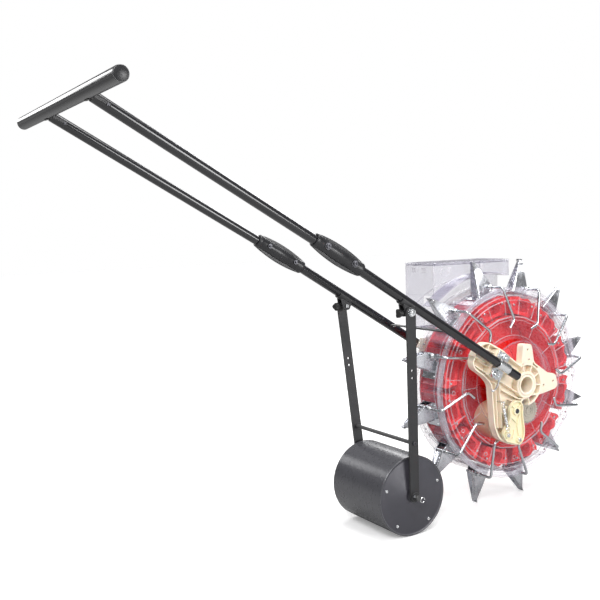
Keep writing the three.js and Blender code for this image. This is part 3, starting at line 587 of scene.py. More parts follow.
# ---------------------------------------------------------------- red seed drum
def red_drum():
    disc = Form()
    disc.prism(circle(0, 0, 192, 96), 37.5, 41.4, [feed_slot(120), feed_slot(300)])
    disc.turned([(23.2, -59.5), (27, -59.5), (27.4, -59), (27.4, 37.6), (23.2, 37.6)], 64, closed=True)
    disc.turned([(60, 37.6), (60, 34), (62, 34), (62, 37.6)], 72, closed=True)
    disc.turned([(96, 37.6), (96, 35), (97.6, 35), (97.6, 37.6)], 96, closed=True)
    for i in range(6):
        disc.block(27, 60, 33, 37.6, -1.2, 1.2, at=spoke(TAU * (i + 0.5) / 6))
    disc.build("drum_disc", RED, "wheel", ["seed_drum"], bevel=0.3)
    wall = Form()
    outside, inside = (circle(0, 0, flat / math.cos(TAU / 48), 24) for flat in (147, 144.6))
    wall.prism(outside, -41, 37.4, [inside])
    wall.build("drum_wall", RED, "wheel", bevel=0.5)
    pockets = Form()
    for k in range(MOUTHS):
        seed_pocket(pockets, mouth_angle(k))
    pockets.build("seed_pockets", DEEP_RED, "wheel", bevel=0.6)


def feed_slot(angle):
    """Curved slot in the drum's far side, where seed comes in from the hopper's chute."""
    outline = arc(54, angle - 18, angle + 18, 12) + arc(32, angle + 18, angle - 18, 12)
    return rounded(outline, 3, 3)


BOSSES = [(176, -27), (170, 29)]  # screw bosses of a seed compartment, drawn pointing along +X


def seed_pocket(form, angle):
    """One compartment: a wavy outer edge, stepped floor and two screw bosses."""
    turn = spoke(angle)
    outline = []
    for t in range(25):
        a = math.radians(-13.2 + 26.4 * t / 24)
        wave = 191.5 - 5.5 * (0.5 - 0.5 * math.cos(TAU * 3 * t / 24)) - (9 if t in (0, 24) else 0)
        outline.append((wave * math.cos(a), wave * math.sin(a)))
    hollow = rounded([(159, -19), (170, -21), (183, -13), (183, 15), (170, 22), (159, 19)], 4, 4)
    form.prism(outline + arc(152, 11, -11, 4), -36, 37.2, [hollow], at=turn)
    form.prism(inset(hollow, -0.4), -14, 37.0, at=turn)
    for x, z in BOSSES:
        form.turned([(0, -38.5), (3.2, -38.5), (3.8, -38), (4.2, -35.8), (0, -35.8)], 20,
                    at=turn @ shift(x, 0, z))


def drum_screws():
    screws = Form()
    for k in range(MOUTHS):
        turn = spoke(mouth_angle(k))
        for x, z in BOSSES:
            cross_screw(screws, turn @ shift(x, -38.5, z), 2.7)
        for y in (-36.5, 35):
            for z in (-44, 44):
                cross_screw(screws, turn @ facing((SEAT, y, z), (1, 0, 0)), 2.4)
    screws.build("wheel_screws", ZINC, "wheel")


def gear_outline(teeth, module, phase):
    pitch = module * teeth / 2
    foot, shoulder, tip = pitch - 1.2 * module, pitch + 0.8 * module, pitch + 0.9 * module
    flank = [(foot, -0.31), (pitch, -0.235), (shoulder, -0.13), (tip, 0), (shoulder, 0.13), (pitch, 0.235),
             (foot, 0.31)]
    points = []
    for i in range(teeth):
        for radius, offset in flank:
            angle = phase + (i + offset) * TAU / teeth
            points.append((radius * math.cos(angle), radius * math.sin(angle)))
    return points


def gears():
    hub = Form()
    mesh_angle = math.atan2(PINION.z, PINION.x)
    hub.prism(gear_outline(43, 2, mesh_angle), -68, -60.2, [circle(0, 0, 23.2, 48)])
    hub.build("hub_gear_teeth", GEAR, "wheel", ["hub_gear"], bevel=0.2)
    pinion = Form()
    at = shift(PINION.x, 0, PINION.z)
    phase = math.atan2(-PINION.z, -PINION.x) + TAU / 54
    pinion.prism(gear_outline(27, 2, phase), -67.6, -60, at=at)
    for radius, y in ((22, -68.6), (15, -69.2), (9, -70)):
        pinion.turned([(radius - 2.2, -67), (radius, -67), (radius, y + 0.3), (radius - 0.4, y),
                       (radius - 2, y), (radius - 2.2, y + 0.3)], 48, closed=True, at=at)
    pinion.turned([(0, -68.4), (6, -68.4), (6.6, -67.8), (6.6, -67), (0, -67)], 32, at=at)
    pinion.turned([(0, -60), (5, -60), (5, -33), (0, -33)], 32, at=at)
    fins = [(r * math.cos(TAU * i / 32), r * math.sin(TAU * i / 32))
            for i in range(32) for r in [20.3 if i % 4 < 2 else 16.2]]
    pinion.prism(fins, -34, 1.9, at=at)
    pinion.build("meter_gear_and_roller", GEAR, "meter", ["meter_shaft"], bevel=0.25)


# ---------------------------------------------------------------- duckbill mouths
def mouth_pieces():
    for k in range(MOUTHS):
        number = f"{k + 1:02d}"
        turn = spoke(mouth_angle(k))
        jaw = Form()
        fixed_jaw(jaw, turn)
        jaw.build(f"jaw_{number}", SHEET_ZINC, "wheel", [f"fixed_jaw_{number}"], bevel=0.35)
        bolts = Form()
        for y in (-16.8, 16.8):
            for z in (-22, 21):
                cross_screw(bolts, turn @ facing((SEAT + 2, y, z), (1, 0, 0)), 2.6)
        bolts.build(f"jaw_screws_{number}", ZINC, "wheel")
        blade = Form()
        tongue(blade, turn)
        blade.build(f"tongue_{number}", SHEET_ZINC, f"mouth_{number}", [f"moving_jaw_{number}"],
                    bevel=0.3)
        wire = Form()
        lever(wire, turn)
        wire.build(f"lever_{number}", LEVER_ZINC, f"mouth_{number}", bevel=0.6)
        coil = Form()
        closing_spring(coil, turn)
        coil.build(f"jaw_spring_{number}", ZINC, "wheel", smooth=60)


def fixed_jaw(form, turn):
    """Sheet-metal beak: base flange and a gutter that narrows to a rounded point."""
    base = SEAT + 0.4
    flat = turn @ axes((0, 1, 0), (-1, 0, 0), (0, 0, 1))
    form.prism(rounded(rect(-21, 21, -28.5, 26.5), 3, 4), -base - 1.6, -base, [seed_window()], at=flat)
    loops = []
    for step in range(15):
        t = step / 14
        x = base + 1 + (TIP - 0.6 - base - 1) * t
        loops.append([(x, y, z) for y, z in gutter(t)])
    form.loft(loops, at=turn)
    for y in (-15.2, 13.2):
        form.turned([(3.3, y), (5.6, y), (5.6, y + 2), (3.3, y + 2)], 24, closed=True,
                    at=turn @ Matrix.Translation(PIN))


def gutter(t):
    """Cross-section of the beak as (y, z), from its base (t 0) to its tip (t 1)."""
    ease = t**1.3
    low_half, top_half = 13.3 - 4.3 * ease, 13.0 - 11.2 * t**1.5
    low = -28.5 if t < 0.26 else -28.5 + 27.6 * (t - 0.26) / 0.74
    top = 13.8 - 12.9 * t**1.1
    sheet = min(1.3, (top - low) * 0.6)
    outside = open_section(low_half, top_half, low, top, 4.5 * (1 - t) + 1.5)
    inside = open_section(low_half - 1.3, max(0.5, top_half - 1.1), low, top - sheet, 3.2 * (1 - t) + 1.2)
    return outside + inside[::-1]


def open_section(low_half, top_half, low, top, corner):
    path = [(-low_half, low), (-top_half, top), (top_half, top), (low_half, low)]
    return rounded(path, corner, 5, closed=False)


def tongue(form, turn):
    """Moving tongue with a rounded tip, rolled knuckle and turned-in side lips."""
    tip = Vector((TIP - 3.2, 0, -2.3))
    reach = tip - PIN
    tilt = Matrix.Rotation(-math.atan2(reach.z, reach.x), 4, "Y")
    at = turn @ Matrix.Translation(PIN) @ tilt
    length = reach.length
    base_half, tip_half, nose = 11.2, 8.2, 9.0
    outline = [(2, -base_half), (length - nose, -tip_half)]
    for step in range(1, 12):
        a = math.radians(-90 + 180 * step / 12)
        outline.append((length - nose + nose * math.cos(a), tip_half * math.sin(a)))
    outline += [(length - nose, tip_half), (2, base_half)]
    form.prism(outline, -1.5, 0, at=at @ LAY_FLAT)
    lip = rounded([(8, 0.6), (length - 28, 0.6), (length - 34, 4.0), (14, 5.2)], 2, 3)
    for sign in (-1, 1):
        y = sorted((sign * (tip_half + 0.1), sign * (tip_half - 1.2)))
        form.prism(lip, y[0], y[1], at=at)
    form.prism(rounded([(14, -2.2), (length - 14, -1.2), (length - 14, 1.2), (14, 2.2)], 1, 3), -0.1, 0.9,
               at=at @ LAY_FLAT)
    form.turned([(3.2, -11.3), (4.9, -11.3), (4.9, 11.3), (3.2, 11.3)], 28, closed=True,
                at=turn @ Matrix.Translation(PIN))


def lever(form, turn):
    """Bent wire: hinge pin, outer bend, run across the casing and foot."""
    inner = -PIN_LAG - math.radians(7.7)
    foot = -PIN_LAG - math.radians(0.9)
    corners = [(PIN.x, 21.5, PIN.z), (PIN.x, -56.2, PIN.z), tuple(polar(141.5, inner, -59.5)),
               tuple(polar(125.3, foot, -59.5))]
    path = rounded(corners, 8, 7, closed=False)
    form.sweep(path, section(WIRE, 18), at=turn)


def closing_spring(form, turn):
    """Torsion spring round the lever's pin, one leg on the flange and one on the tongue."""
    coils, start, radius = 5, -24.5, WIRE + 1.3
    path = [(PIN.x - 14, start, PIN.z + 12), (PIN.x - 6, start, PIN.z + 9)]
    for i in range(coils * 14 + 1):
        a = math.radians(115) - TAU * i / 14
        y = start + i * 8.4 / (coils * 14)
        path.append((PIN.x + radius * math.cos(a), y, PIN.z + radius * math.sin(a)))
    form.sweep(path, section(0.85, 8), at=turn)


# ---------------------------------------------------------------- near and far brackets
ARM_OUTLINE = [(-151, 51), (-156, 67), (-134, 101), (-111, 105), (-68, 83), (-50, 68), (-14, 43)]
TAB_OUTLINE = [(-10, 84), (-7, 90), (13, 89), (18, 84), (24, 47), (38, 38), (68, 18), (86, 16), (93, 9),
               (97, -11), (91, -19), (38, -27)]
CAM_SIDE = [(2, -25), (-17, -36), (-20, -60), (-13.4, -96), (-16, -118), (-29, -130.6), (-60, -121.6),
            (-84, -106.6), (-96.6, -78), (-103.6, 12)]
SHOE_WINDOW = [(-73.5, -91.5), (-51, -110.5), (-33, -116), (-22, -113), (-19.5, -96), (-29, -81),
               (-57, -89.5)]
PLAIN_SIDE = [(10, -27), (-16, -23), (-60, 4)]
TAB_HOLES = [(5, 77, 2.2), (9, 55, 2.2), (53, -7, 2.6), (83, -1, 2.6)]


PLATE_RIBS = [((-140, 70), (-84, 36)), ((-128, 96), (-62, 64)), ((-62, 64), (-26, 22)),
              ((-112, 38), (-26, -14)), ((-116, 74), (-106, 100)), ((-74, 66), (-64, 42)),
              ((-150, 60), (-118, 40))]
CAM_RIBS = [((-91, 14), (-85, -84)), ((-79, 8), (-73, -86)), ((-74, -2), (-24, -28)),
            ((-20, -58), (-46, -28)), ((-24, -28), (4, -32)), ((-93, 14), (-76, 8)),
            ((-58, -40), (-72, -54))]


def bracket(side):
    """Moulded bracket: thin floor, raised rim, solid tabs, ribbed hub ring and clamp pads.

    The near one also reaches down to carry the trip arm.
    """
    near = side == "near"
    at = FLIP[side]
    form = Form()
    outline = rounded(ARM_OUTLINE + TAB_OUTLINE + (CAM_SIDE if near else PLAIN_SIDE) + [(-121, 31)], 9, 6)
    bore = circle(0, 0, 23.2, 48)
    pivot = [circle(TRIP_PIVOT.x, TRIP_PIVOT.z, 5.4, 24), rounded(SHOE_WINDOW, 3, 3)] if near else []
    tab_bores = [circle(x, z, r, 20) for x, z, r in TAB_HOLES]
    form.prism(outline, -76, BACK, [bore, *pivot, *tab_bores], at=at)
    form.prism(outline, FRONT, -75.8, [inset(outline, 3.4)], at=at)
    for tab, bores in ((top_tab(), tab_bores[:2]), (front_tab(), tab_bores[2:])):
        form.prism(tab, FRONT + 0.05, BRACKET_FLOOR, bores, at=at)
    for outer, inner, y, sweep in ((29.4, 23.2, FRONT - 0.8, (0, 360)),
                                   (46.5, 42.6, FRONT - 0.1, (-84, 112))):
        form.turned([(inner, BRACKET_FLOOR), (outer, BRACKET_FLOOR), (outer, y + 0.7), (outer - 0.7, y),
                     (inner + 0.7, y), (inner, y + 0.7)], 72, closed=True, at=at, between=sweep)
    for degrees in (-78, -42, -6, 30, 66, 102):
        form.block(28.5, 43.4, FRONT + 0.6, BRACKET_FLOOR, -1.3, 1.3, at=at @ spoke(math.radians(degrees)))
    for start, end in PLATE_RIBS + (CAM_RIBS if near else []):
        form.prism(strip(start, end, 2.2), FRONT + 0.8, BRACKET_FLOOR, at=at)
    for extent, tilt in clamp_pads():
        form.block(*extent, at=at @ tilt)
    form.build(f"hub_bracket_{side}", CREAM, "frame", [f"bracket_{side}"], bevel=0.8,
               segments=3)


HUB_RING = 44.5  # the tabs grow out of the hub's outer ring


def top_tab():
    """Upper tab: the bracket's outline from the hub ring up and back down."""
    edge = [(-11, 46), (-10, 84), (-7, 89.6), (13, 88.6), (17.6, 83.6), (23.6, 47)]
    return arc(HUB_RING, 62, 104, 8) + rounded(edge, 4, 4)


def front_tab():
    """Front tab, between the hub ring and the bracket's nose."""
    edge = [(37, -26.6), (91, -18.6), (96.6, -11), (92.6, 9), (86, 15.6), (68, 17.6), (38, 37.6)]
    return arc(HUB_RING, 46, -30, 8) + rounded(edge, 4, 4)


def clamp_pads():
    """Seats that the lower tube lies on, tilted along it."""
    seat = -(TUBE_Y - TUBE_R - 0.3)
    pads = []
    for x, half_length, half in ((-88, 17, 30), (-135, 15, 12)):
        extent = (-half_length, half_length, seat, BRACKET_FLOOR, -half, half)
        pads.append((extent, shift(x, 0, tube_z(x)) @ TUBE_TILT))
    return pads


def tube_clamp(side):
    """Zinc strap over the tube, two bolts with washers, a wing nut and a hanging hook."""
    at = FLIP[side] @ shift(-88, -TUBE_Y, tube_z(-88)) @ TUBE_TILT
    strap = Form()
    stand = at @ axes((0, 0, -1), (1, 0, 0), (0, -1, 0))
    strap.prism(strap_outline(), -17, 17, at=stand)
    strap.build(f"clamp_strap_{side}", ZINC, "frame", [f"tube_clamp_{side}"], bevel=0.5)
    bolts = Form()
    for z in (-21.7, 21.7):
        spot = at @ shift(0, 6.4, z)
        washer(bolts, spot, 8.6, 3.6, 1.4)
        cross_screw(bolts, spot @ shift(0, -1.4, 0), 6.2, 4.2)
    wing = at @ shift(-14, 1, -25)
    bolts.turned([(0, 1), (7.4, 1), (8, 0), (8, -4), (7.2, -5), (3.4, -5.4), (3.4, -9), (0, -9.6)], 28,
                 at=wing)
    for turn in (0, 180):
        ear = rounded([(5, -2.5), (11, -4.5), (13.5, 0), (11, 4.5), (5, 2.5)], 2, 3)
        bolts.prism(ear, -4.5, -1.5, at=wing @ rotate("Y", turn + 35))
    bolts.build(f"clamp_bolts_{side}", ZINC, "frame", bevel=0.3)
    if side == "near":
        hook = Form()
        bends = [(-101, -112, 30), (-104, -108, 12), (-107, -103, 4), (-112, -101, 0), (-113, -101, 6)]
        hook.sweep(rounded(bends, 4, 5, closed=False), section(1.7, 12))
        hook.build("clamp_hook", ZINC, "frame", bevel=0.3)


def strap_outline():
    """Strap seen along the tube: two flat ears and a round back, (across, out) with out positive."""
    back = [(-29, -9.2), (-29, -6.6), (-12.2, -6.6)] + arc(12.1, 180, 0, 16) + [(12.2, -6.6), (29, -6.6)]
    return back + [(29, -9.2), (9.9, -9.2)] + arc(9.9, 0, 180, 16) + [(-9.9, -9.2)]


def axle():
    form = Form()
    form.turned([(17.5, -90.4), (18.1, -91), (22, -91), (22.6, -90.4), (22.6, 90.4), (22, 91), (18.1, 91),
                 (17.5, 90.4)], 72, closed=True)
    form.build("axle", CREAM, "frame", ["axle_tube"])


# ---------------------------------------------------------------- trip arm and metering housing
TRIP_SCREWS = [(-64, -101), (-31, -115)]


def trip_arm():
    """Ivory lever with a raised rim, ribs and a rounded shoe behind it."""
    form = Form()
    corners = [(-24, -33), (-37, -28), (-52, -33), (-59, -46), (-57, -58), (-60, -72), (-73, -84),
               (-80, -96), (-71, -114), (-29, -128), (-17, -116), (-14, -96), (-20, -62), (-18, -44)]
    outline = rounded(corners, 8, 6)
    px, pz = TRIP_PIVOT.x, TRIP_PIVOT.z
    form.prism(outline, -93.2, -91, [circle(px, pz, 5.4, 24)])
    form.prism(outline, -98.4, -93, [inset(outline, 2.4)])
    boss = [(5.4, -93), (9.2, -93), (9.2, -98), (8.8, -98.6), (5.8, -98.6), (5.4, -98)]
    form.turned(boss, 36, closed=True, at=shift(px, 0, pz))
    for x, z in TRIP_SCREWS:
        form.turned([(0, -93), (7.6, -93), (7.2, -97.6), (6.6, -98.2), (0, -98.2)], 28, at=shift(x, 0, z))
    ribs = [((-50, -38), (-42, -46)), ((-28, -60), (-36, -84)), ((-36, -84), (-30, -110)),
            ((-44, -92), (-50, -110)), ((-52, -64), (-37, -78)), ((-31, -44), (-24, -40))]
    curve = [(-56 + 4 * math.sin(t * 0.9), -58 - 3.4 * t - 2 * math.sin(t)) for t in range(8)]
    ribs += [(a, (b[0] + 0.3, b[1])) for a, b in zip(curve, curve[1:])]
    for start, end in ribs:
        form.prism(strip(start, end, 2.0), -97.4, -92.8)
    shoe = rounded([(-70, -93.5), (-50, -107), (-34, -112.5), (-29, -98), (-34, -87), (-56, -93)], 2, 4)
    form.prism(shoe, -91.2, -55)
    form.build("trip_arm_body", IVORY, "trip", ["trip_arm"], bevel=0.5, segments=2)
    screws = Form()
    for x, z in TRIP_SCREWS:
        cross_screw(screws, shift(x, -98.2, z), 4.6, 2.6)
    screws.build("trip_screws", ZINC, "trip", bevel=0.15)
    pin = Form()
    pin.turned([(0, -99.4), (4.4, -99.4), (5, -98.8), (5, -76.4), (0, -76.4)], 32,
               at=shift(px, 0, pz))
    pin.build("trip_pin", DARK_STEEL, "frame", ["trip_pivot"])


def spring():
    """Tension spring from the bracket down to the trip arm, with its two end hooks."""
    top, bottom = Vector((-78, -96, -27)), Vector((-68, -101, -91))
    length = (bottom - top).length
    body = (length * 0.17, length * 0.84)  # the coil, between its two hooks
    coils, per_coil, radius, hook = 22, 12, 3.2, 3.4
    form = Form()
    at = along(top, bottom)
    strand = section(0.75, 8)
    helix = []
    for i in range(coils * per_coil + 1):
        a = TAU * i / per_coil
        y = body[0] + (body[1] - body[0]) * i / (coils * per_coil)
        helix.append((radius * math.cos(a), y, radius * math.sin(a)))
    form.sweep([at @ Vector(point) for point in helix], strand)
    for end, inward, inner in ((0, 1, body[0]), (length, -1, body[1])):
        eye = [(z, end + inward * (hook - x), 0) for x, z in arc(hook, -80, 250, 14)]
        form.sweep([at @ Vector(point) for point in eye], strand)
        outer = end + inward * 6.4
        neck = [(0, outer, 0), (1.2, (outer + inner) / 2, 0), (radius, inner, 0)]
        form.sweep([at @ Vector(point) for point in neck], strand)
    coil = form.build("trip_spring", ZINC, None, smooth=60)
    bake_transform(coil)
    posts = Form()
    posts.turned([(0, -99.5), (2.6, -99.5), (2.6, -98.4), (1.8, -98), (1.8, -76), (0, -76)], 20,
                 at=shift(top.x, 0, top.z))
    posts.build("spring_post", ZINC, "frame")


def metering():
    """Seed cup on its post round the pinion's roller, and the clear cover of the gears."""
    cup_x, cup_z = -24, -87
    post_x, post_z = -42, -74
    form = Form()
    cup = [(39, -39.4), (40.5, -40), (42, -39.4), (42, 7), (41, 8), (0, 8), (0, 5.2), (38, 5.2), (39, 4.2)]
    form.turned(cup, 72, at=shift(cup_x, 0, cup_z))
    for radius in (33, 20):
        form.turned([(radius, 5.6), (radius + 1.4, 5.6), (radius + 1.4, 3), (radius, 3)], 60, closed=True,
                    at=shift(cup_x, 0, cup_z))
    form.turned([(22, -40), (25, -40), (25, 7), (22, 7)], 48, closed=True, at=shift(PINION.x, 0, PINION.z))
    form.turned([(0, -71.7), (8.4, -71.7), (9, -71), (9, 6), (0, 6)], 32, at=shift(post_x, 0, post_z))
    shield = arc(41, 110, 260, 12, cup_x, cup_z) + arc(36, 260, 110, 12, cup_x, cup_z)
    form.prism(shield, -52, -39)
    form.build("meter_cup", IVORY, "frame", ["meter_housing"], bevel=0.4)
    cover = Form()
    holes = [circle(0, 0, 24.4, 48), circle(post_x, post_z, 10, 24), trip_clearance()]
    cover.prism(circle(0, 0, 95, 120), -71.6, -70.2, holes)
    cover.turned([(93, -70.1), (95.4, -70.1), (95.4, -73), (94.8, -73.4), (93.6, -73.4), (93, -73)],
                 120, closed=True)
    cover.turned([(60, -71.5), (61, -71.5), (61, -72.6), (60, -72.6)], 96, closed=True, between=(-75, 30))
    cover.build("gear_cover", CLEAR, "frame")


def trip_clearance():
    """Window of the gear cover that the trip arm's shoe swings in."""
    return rounded([(-74, -52), (-20, -62), (0, -72), (4, -90), (-30, -88), (-60, -70)], 4, 4)


# ---------------------------------------------------------------- hopper
LOW, HIGH = (local(corner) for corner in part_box("hopper_body"))
HOPPER_WALL = 2.5
HOPPER_BOTTOM = 122.0
RECESS = 54.0  # the hopper's lower part lies behind this plane, beside the wheel
FLOOR_RADIUS = 240.0  # the floor over the wheel clears the mouths
CHUTE = [(-62, 128), (46, 128), (26, 60), (26, 29), (-22, 29), (-22, 60)]
CHUTE_BACK = 71.7


def hopper():
    form = Form()
    wall, inside, outside = HOPPER_WALL, HIGH.y - HOPPER_WALL, LOW.y + HOPPER_WALL
    over_wheel = floor_arc(LOW.x, HIGH.x)
    form.prism([(HIGH.x, HIGH.z)] + over_wheel + [(LOW.x, HIGH.z)], LOW.y, outside)
    form.prism(rounded(rect(LOW.x, HIGH.x, HOPPER_BOTTOM, HIGH.z), 3, 3), inside, HIGH.y)
    for x, step in ((LOW.x, 200), (HIGH.x - wall, 233)):
        form.block(x, x + wall, outside, inside, step, HIGH.z - 0.2)
        form.block(x, x + wall, RECESS, inside, HOPPER_BOTTOM, step + 0.2)
    x0, x1 = LOW.x + wall, HIGH.x - wall
    form.prism(floor_arc(x0, x1) + [(x0, HOPPER_BOTTOM), (x1, HOPPER_BOTTOM)], RECESS, RECESS + wall)
    left, right = CHUTE[0][0], CHUTE[1][0]
    for start, end, front in ((x0, left, RECESS), (right, x1, RECESS), (left, right, CHUTE_BACK)):
        form.block(start, end, front, inside, HOPPER_BOTTOM, HOPPER_BOTTOM + wall)
    form.prism(CHUTE, RECESS, RECESS + wall, [rect(-14, 18, 33, 56)])
    form.prism(CHUTE, CHUTE_BACK - wall, CHUTE_BACK)
    for start, end in zip(CHUTE[1:], CHUTE[2:] + CHUTE[:1]):
        chute_wall(form, start, end)
    form.build("hopper_shell", HOPPER_CLEAR, "frame", ["hopper_body"], bevel=0.5)
    curved_floor()
    hopper_trim()
    hopper_lid()


def chute_wall(form, start, end):
    a, b = Vector(start), Vector(end)
    across = Vector((-(b - a).y, (b - a).x)).normalized() * HOPPER_WALL
    outline = [tuple(a), tuple(b), tuple(b + across), tuple(a + across)]
    form.prism(outline, RECESS + HOPPER_WALL, CHUTE_BACK - HOPPER_WALL)


def over_wheel_angle(x, radius=FLOOR_RADIUS):
    return math.degrees(math.acos(x / radius))


def floor_arc(x0, x1):
    """The floor's circle round the wheel, from the front wall x1 back to x0."""
    return arc(FLOOR_RADIUS, over_wheel_angle(x1), over_wheel_angle(x0), 32)


def curved_floor():
    """The hopper's floor over the wheel, an arc that clears the mouths."""
    form = Form()
    y0, y1 = LOW.y + HOPPER_WALL, RECESS + HOPPER_WALL
    r0, r1 = FLOOR_RADIUS, FLOOR_RADIUS + HOPPER_WALL
    sweep = (over_wheel_angle(HIGH.x - HOPPER_WALL), over_wheel_angle(LOW.x + HOPPER_WALL))
    form.turned([(r0, y0), (r1, y0), (r1, y1), (r0, y1)], 40, closed=True, between=sweep)
    form.build("hopper_floor", HOPPER_CLEAR, "frame")


def hopper_trim():
    """Raised arc line, moulded corner beads, latch tabs and the hook on the front wall."""
    form = Form()
    near_line = (FLOOR_RADIUS - 1.2, FLOOR_RADIUS + 1.8, LOW.y - 0.6, LOW.y + 0.2, (78, 132))
    far_line = (224, 226.5, HIGH.y - 3.4, HIGH.y - 2.4, (76, 134))
    for r0, r1, y0, y1, sweep in (near_line, far_line):
        form.turned([(r0, y0), (r1, y0), (r1, y1), (r0, y1)], 40, closed=True, between=sweep)
    for x, y, foot in ((LOW.x + 1, LOW.y + 1, 200), (HIGH.x - 1, LOW.y + 1, 234),
                       (LOW.x + 1, HIGH.y - 1, HOPPER_BOTTOM), (HIGH.x - 1, HIGH.y - 1, HOPPER_BOTTOM)):
        form.sweep([(x, y, foot), (x, y, HIGH.z - 1)], section(1.6, 12))
    form.build("hopper_beads", CLEAR_RIB_GLINT, "frame")
    tabs = Form()
    for x, z in ((-26, 259), (-122, 255)):
        tabs.prism(rounded(rect(x - 5, x + 5, z - 7, z + 6), 2, 3), LOW.y - 1.6, LOW.y - 0.1)
        tabs.block(x - 4, x + 4, LOW.y - 3.4, LOW.y - 1.5, z + 1, z + 3)
    for y in (50, 84):
        tabs.block(LOW.x - 1.6, LOW.x + 0.1, y - 6, y + 6, 250, 262)
        tabs.block(LOW.x - 3.2, LOW.x - 1.4, y - 5, y + 5, 258, 260)
    hook = [(x, LOW.y - 4, z) for x, z in ((-143, 259), (-149, 258), (-151, 249), (-145, 246))]
    tabs.sweep(rounded(hook, 3, 5, closed=False), section(1.2, 10))
    tabs.block(-144.4, -141.6, LOW.y - 5, LOW.y, 257.6, 260.4)
    tabs.build("hopper_tabs", CLEAR_RIB_GLINT, "frame", bevel=0.3)


def hopper_lid():
    """Lid with a turned-down lip, and its hinge barrels along the hopper's far side."""
    z = HIGH.z + 0.3
    form = Form()
    outline = rounded(rect(LOW.x - 2, HIGH.x + 2, LOW.y - 2, HIGH.y + 2), 6, 6)
    lay = shift(0, 0, z) @ LAY_FLAT
    form.prism(outline, -3, -1.2, at=lay)
    form.prism(outline, -1.4, 0, [inset(outline, 2.0)], at=lay)
    form.prism(inset(outline, 14), -3.6, -3, [inset(outline, 16)], at=lay)
    rim = inset(outline, 5.2)
    form.prism(rim, -1.0, 3.2, [inset(rim, 1.8)], at=lay)
    form.build("lid_panel", LID_CLEAR, "lid", ["hopper_lid"], bevel=0.4)
    hinge = Form()
    for x in (-130, -54, 22):
        spot = Vector((x, HIGH.y + 2, z - 3.8))
        barrel = [(0, -11), (1.9, -11), (1.9, 11), (0, 11)]
        hinge.turned(barrel, 16, at=along(spot, spot + Vector((1, 0, 0))))
    hinge.build("lid_hinge_barrels", CLEAR_RIB_GLINT, "frame")


# ---------------------------------------------------------------- push handle
def hollow_bar(form, start, end, radius, wall, steps=48):
    start, end = Vector(start), Vector(end)
    length = (end - start).length
    form.turned([(radius - 0.5, 0), (radius, 0.5), (radius, length - 0.5), (radius - 0.5, length),
                 (radius - wall, length), (radius - wall, 0)], steps, closed=True, at=along(start, end))


def push_handle():
    bar = Form()
    hollow_bar(bar, (BAR.x, -BAR_HALF, BAR.z), (BAR.x, BAR_HALF, BAR.z), 12.4, 1.5, 72)
    bar.build("grip_bar", BLACK, "frame", ["handle_bar"])
    for side, sign in SIDES.items():
        cap = Form()
        at = shift(BAR.x, -sign * BAR_HALF, BAR.z)
        profile = [(0, -0.9), (10.6, -0.9), (11.3, -0.5), (11.5, 0.2), (10.6, 0.4), (10.6, 17.6), (0, 17.6)]
        cap.turned(profile, 64, at=at @ FLIP[side])
        cap.build(f"grip_plug_{side}", BLACK_PLASTIC, "frame", [f"handle_cap_{side}"])
        upper = Form()
        top = Vector((BAR.x + 9.5, -sign * BAR_TUBE_Y, BAR.z - 6.5))
        bottom = Vector((COUPLER.x, -sign * TUBE_Y, COUPLER.z))
        hollow_bar(upper, bottom + (top - bottom).normalized() * 0.8, top, TUBE_R, 1.5)
        upper.build(f"tube_upper_{side}", BLACK, "frame", [f"upper_tube_{side}"])
        lower = Form()
        start = Vector((COUPLER.x + 0.7, -sign * TUBE_Y, tube_z(COUPLER.x + 0.7)))
        end = Vector((-44, -sign * TUBE_Y, tube_z(-44)))
        hollow_bar(lower, start, end, TUBE_R, 1.5)
        plug = [(0, -3.4), (7.8, -3.4), (7.8, -1.6), (0, -1.6)]
        lower.turned(plug, 40, at=along(end, end + (end - start)))
        lower.build(f"tube_lower_{side}", BLACK, "frame", [f"lower_tube_{side}"])
        bar_bracket(side, sign)
        coupler(side)


def bar_bracket(side, sign):
    """Folded saddle that fixes a tube to the bar, with its screw."""
    form = Form()
    at = shift(BAR.x, -sign * BAR_TUBE_Y, BAR.z)
    form.prism(arc(13.9, -95, 5, 12) + arc(12.7, 5, -95, 12), -9, 9, at=at)
    tail = rounded([(8, -10), (34, -24), (36, -19), (12, -6)], 2, 3)
    for y in (-11.2, 9.6):
        form.prism(tail, y, y + 1.6, at=at)
    form.build(f"bar_saddle_{side}", FLAT_BLACK, "frame", bevel=0.5)
    screw = Form()
    cross_screw(screw, at @ shift(30, -11.2, -20), 2.6)
    nut(screw, at @ shift(30, 11.2, -20) @ rotate("Z", 180), 4.2, 3, 2)
    screw.build(f"bar_saddle_screw_{side}", DARK_STEEL, "frame")


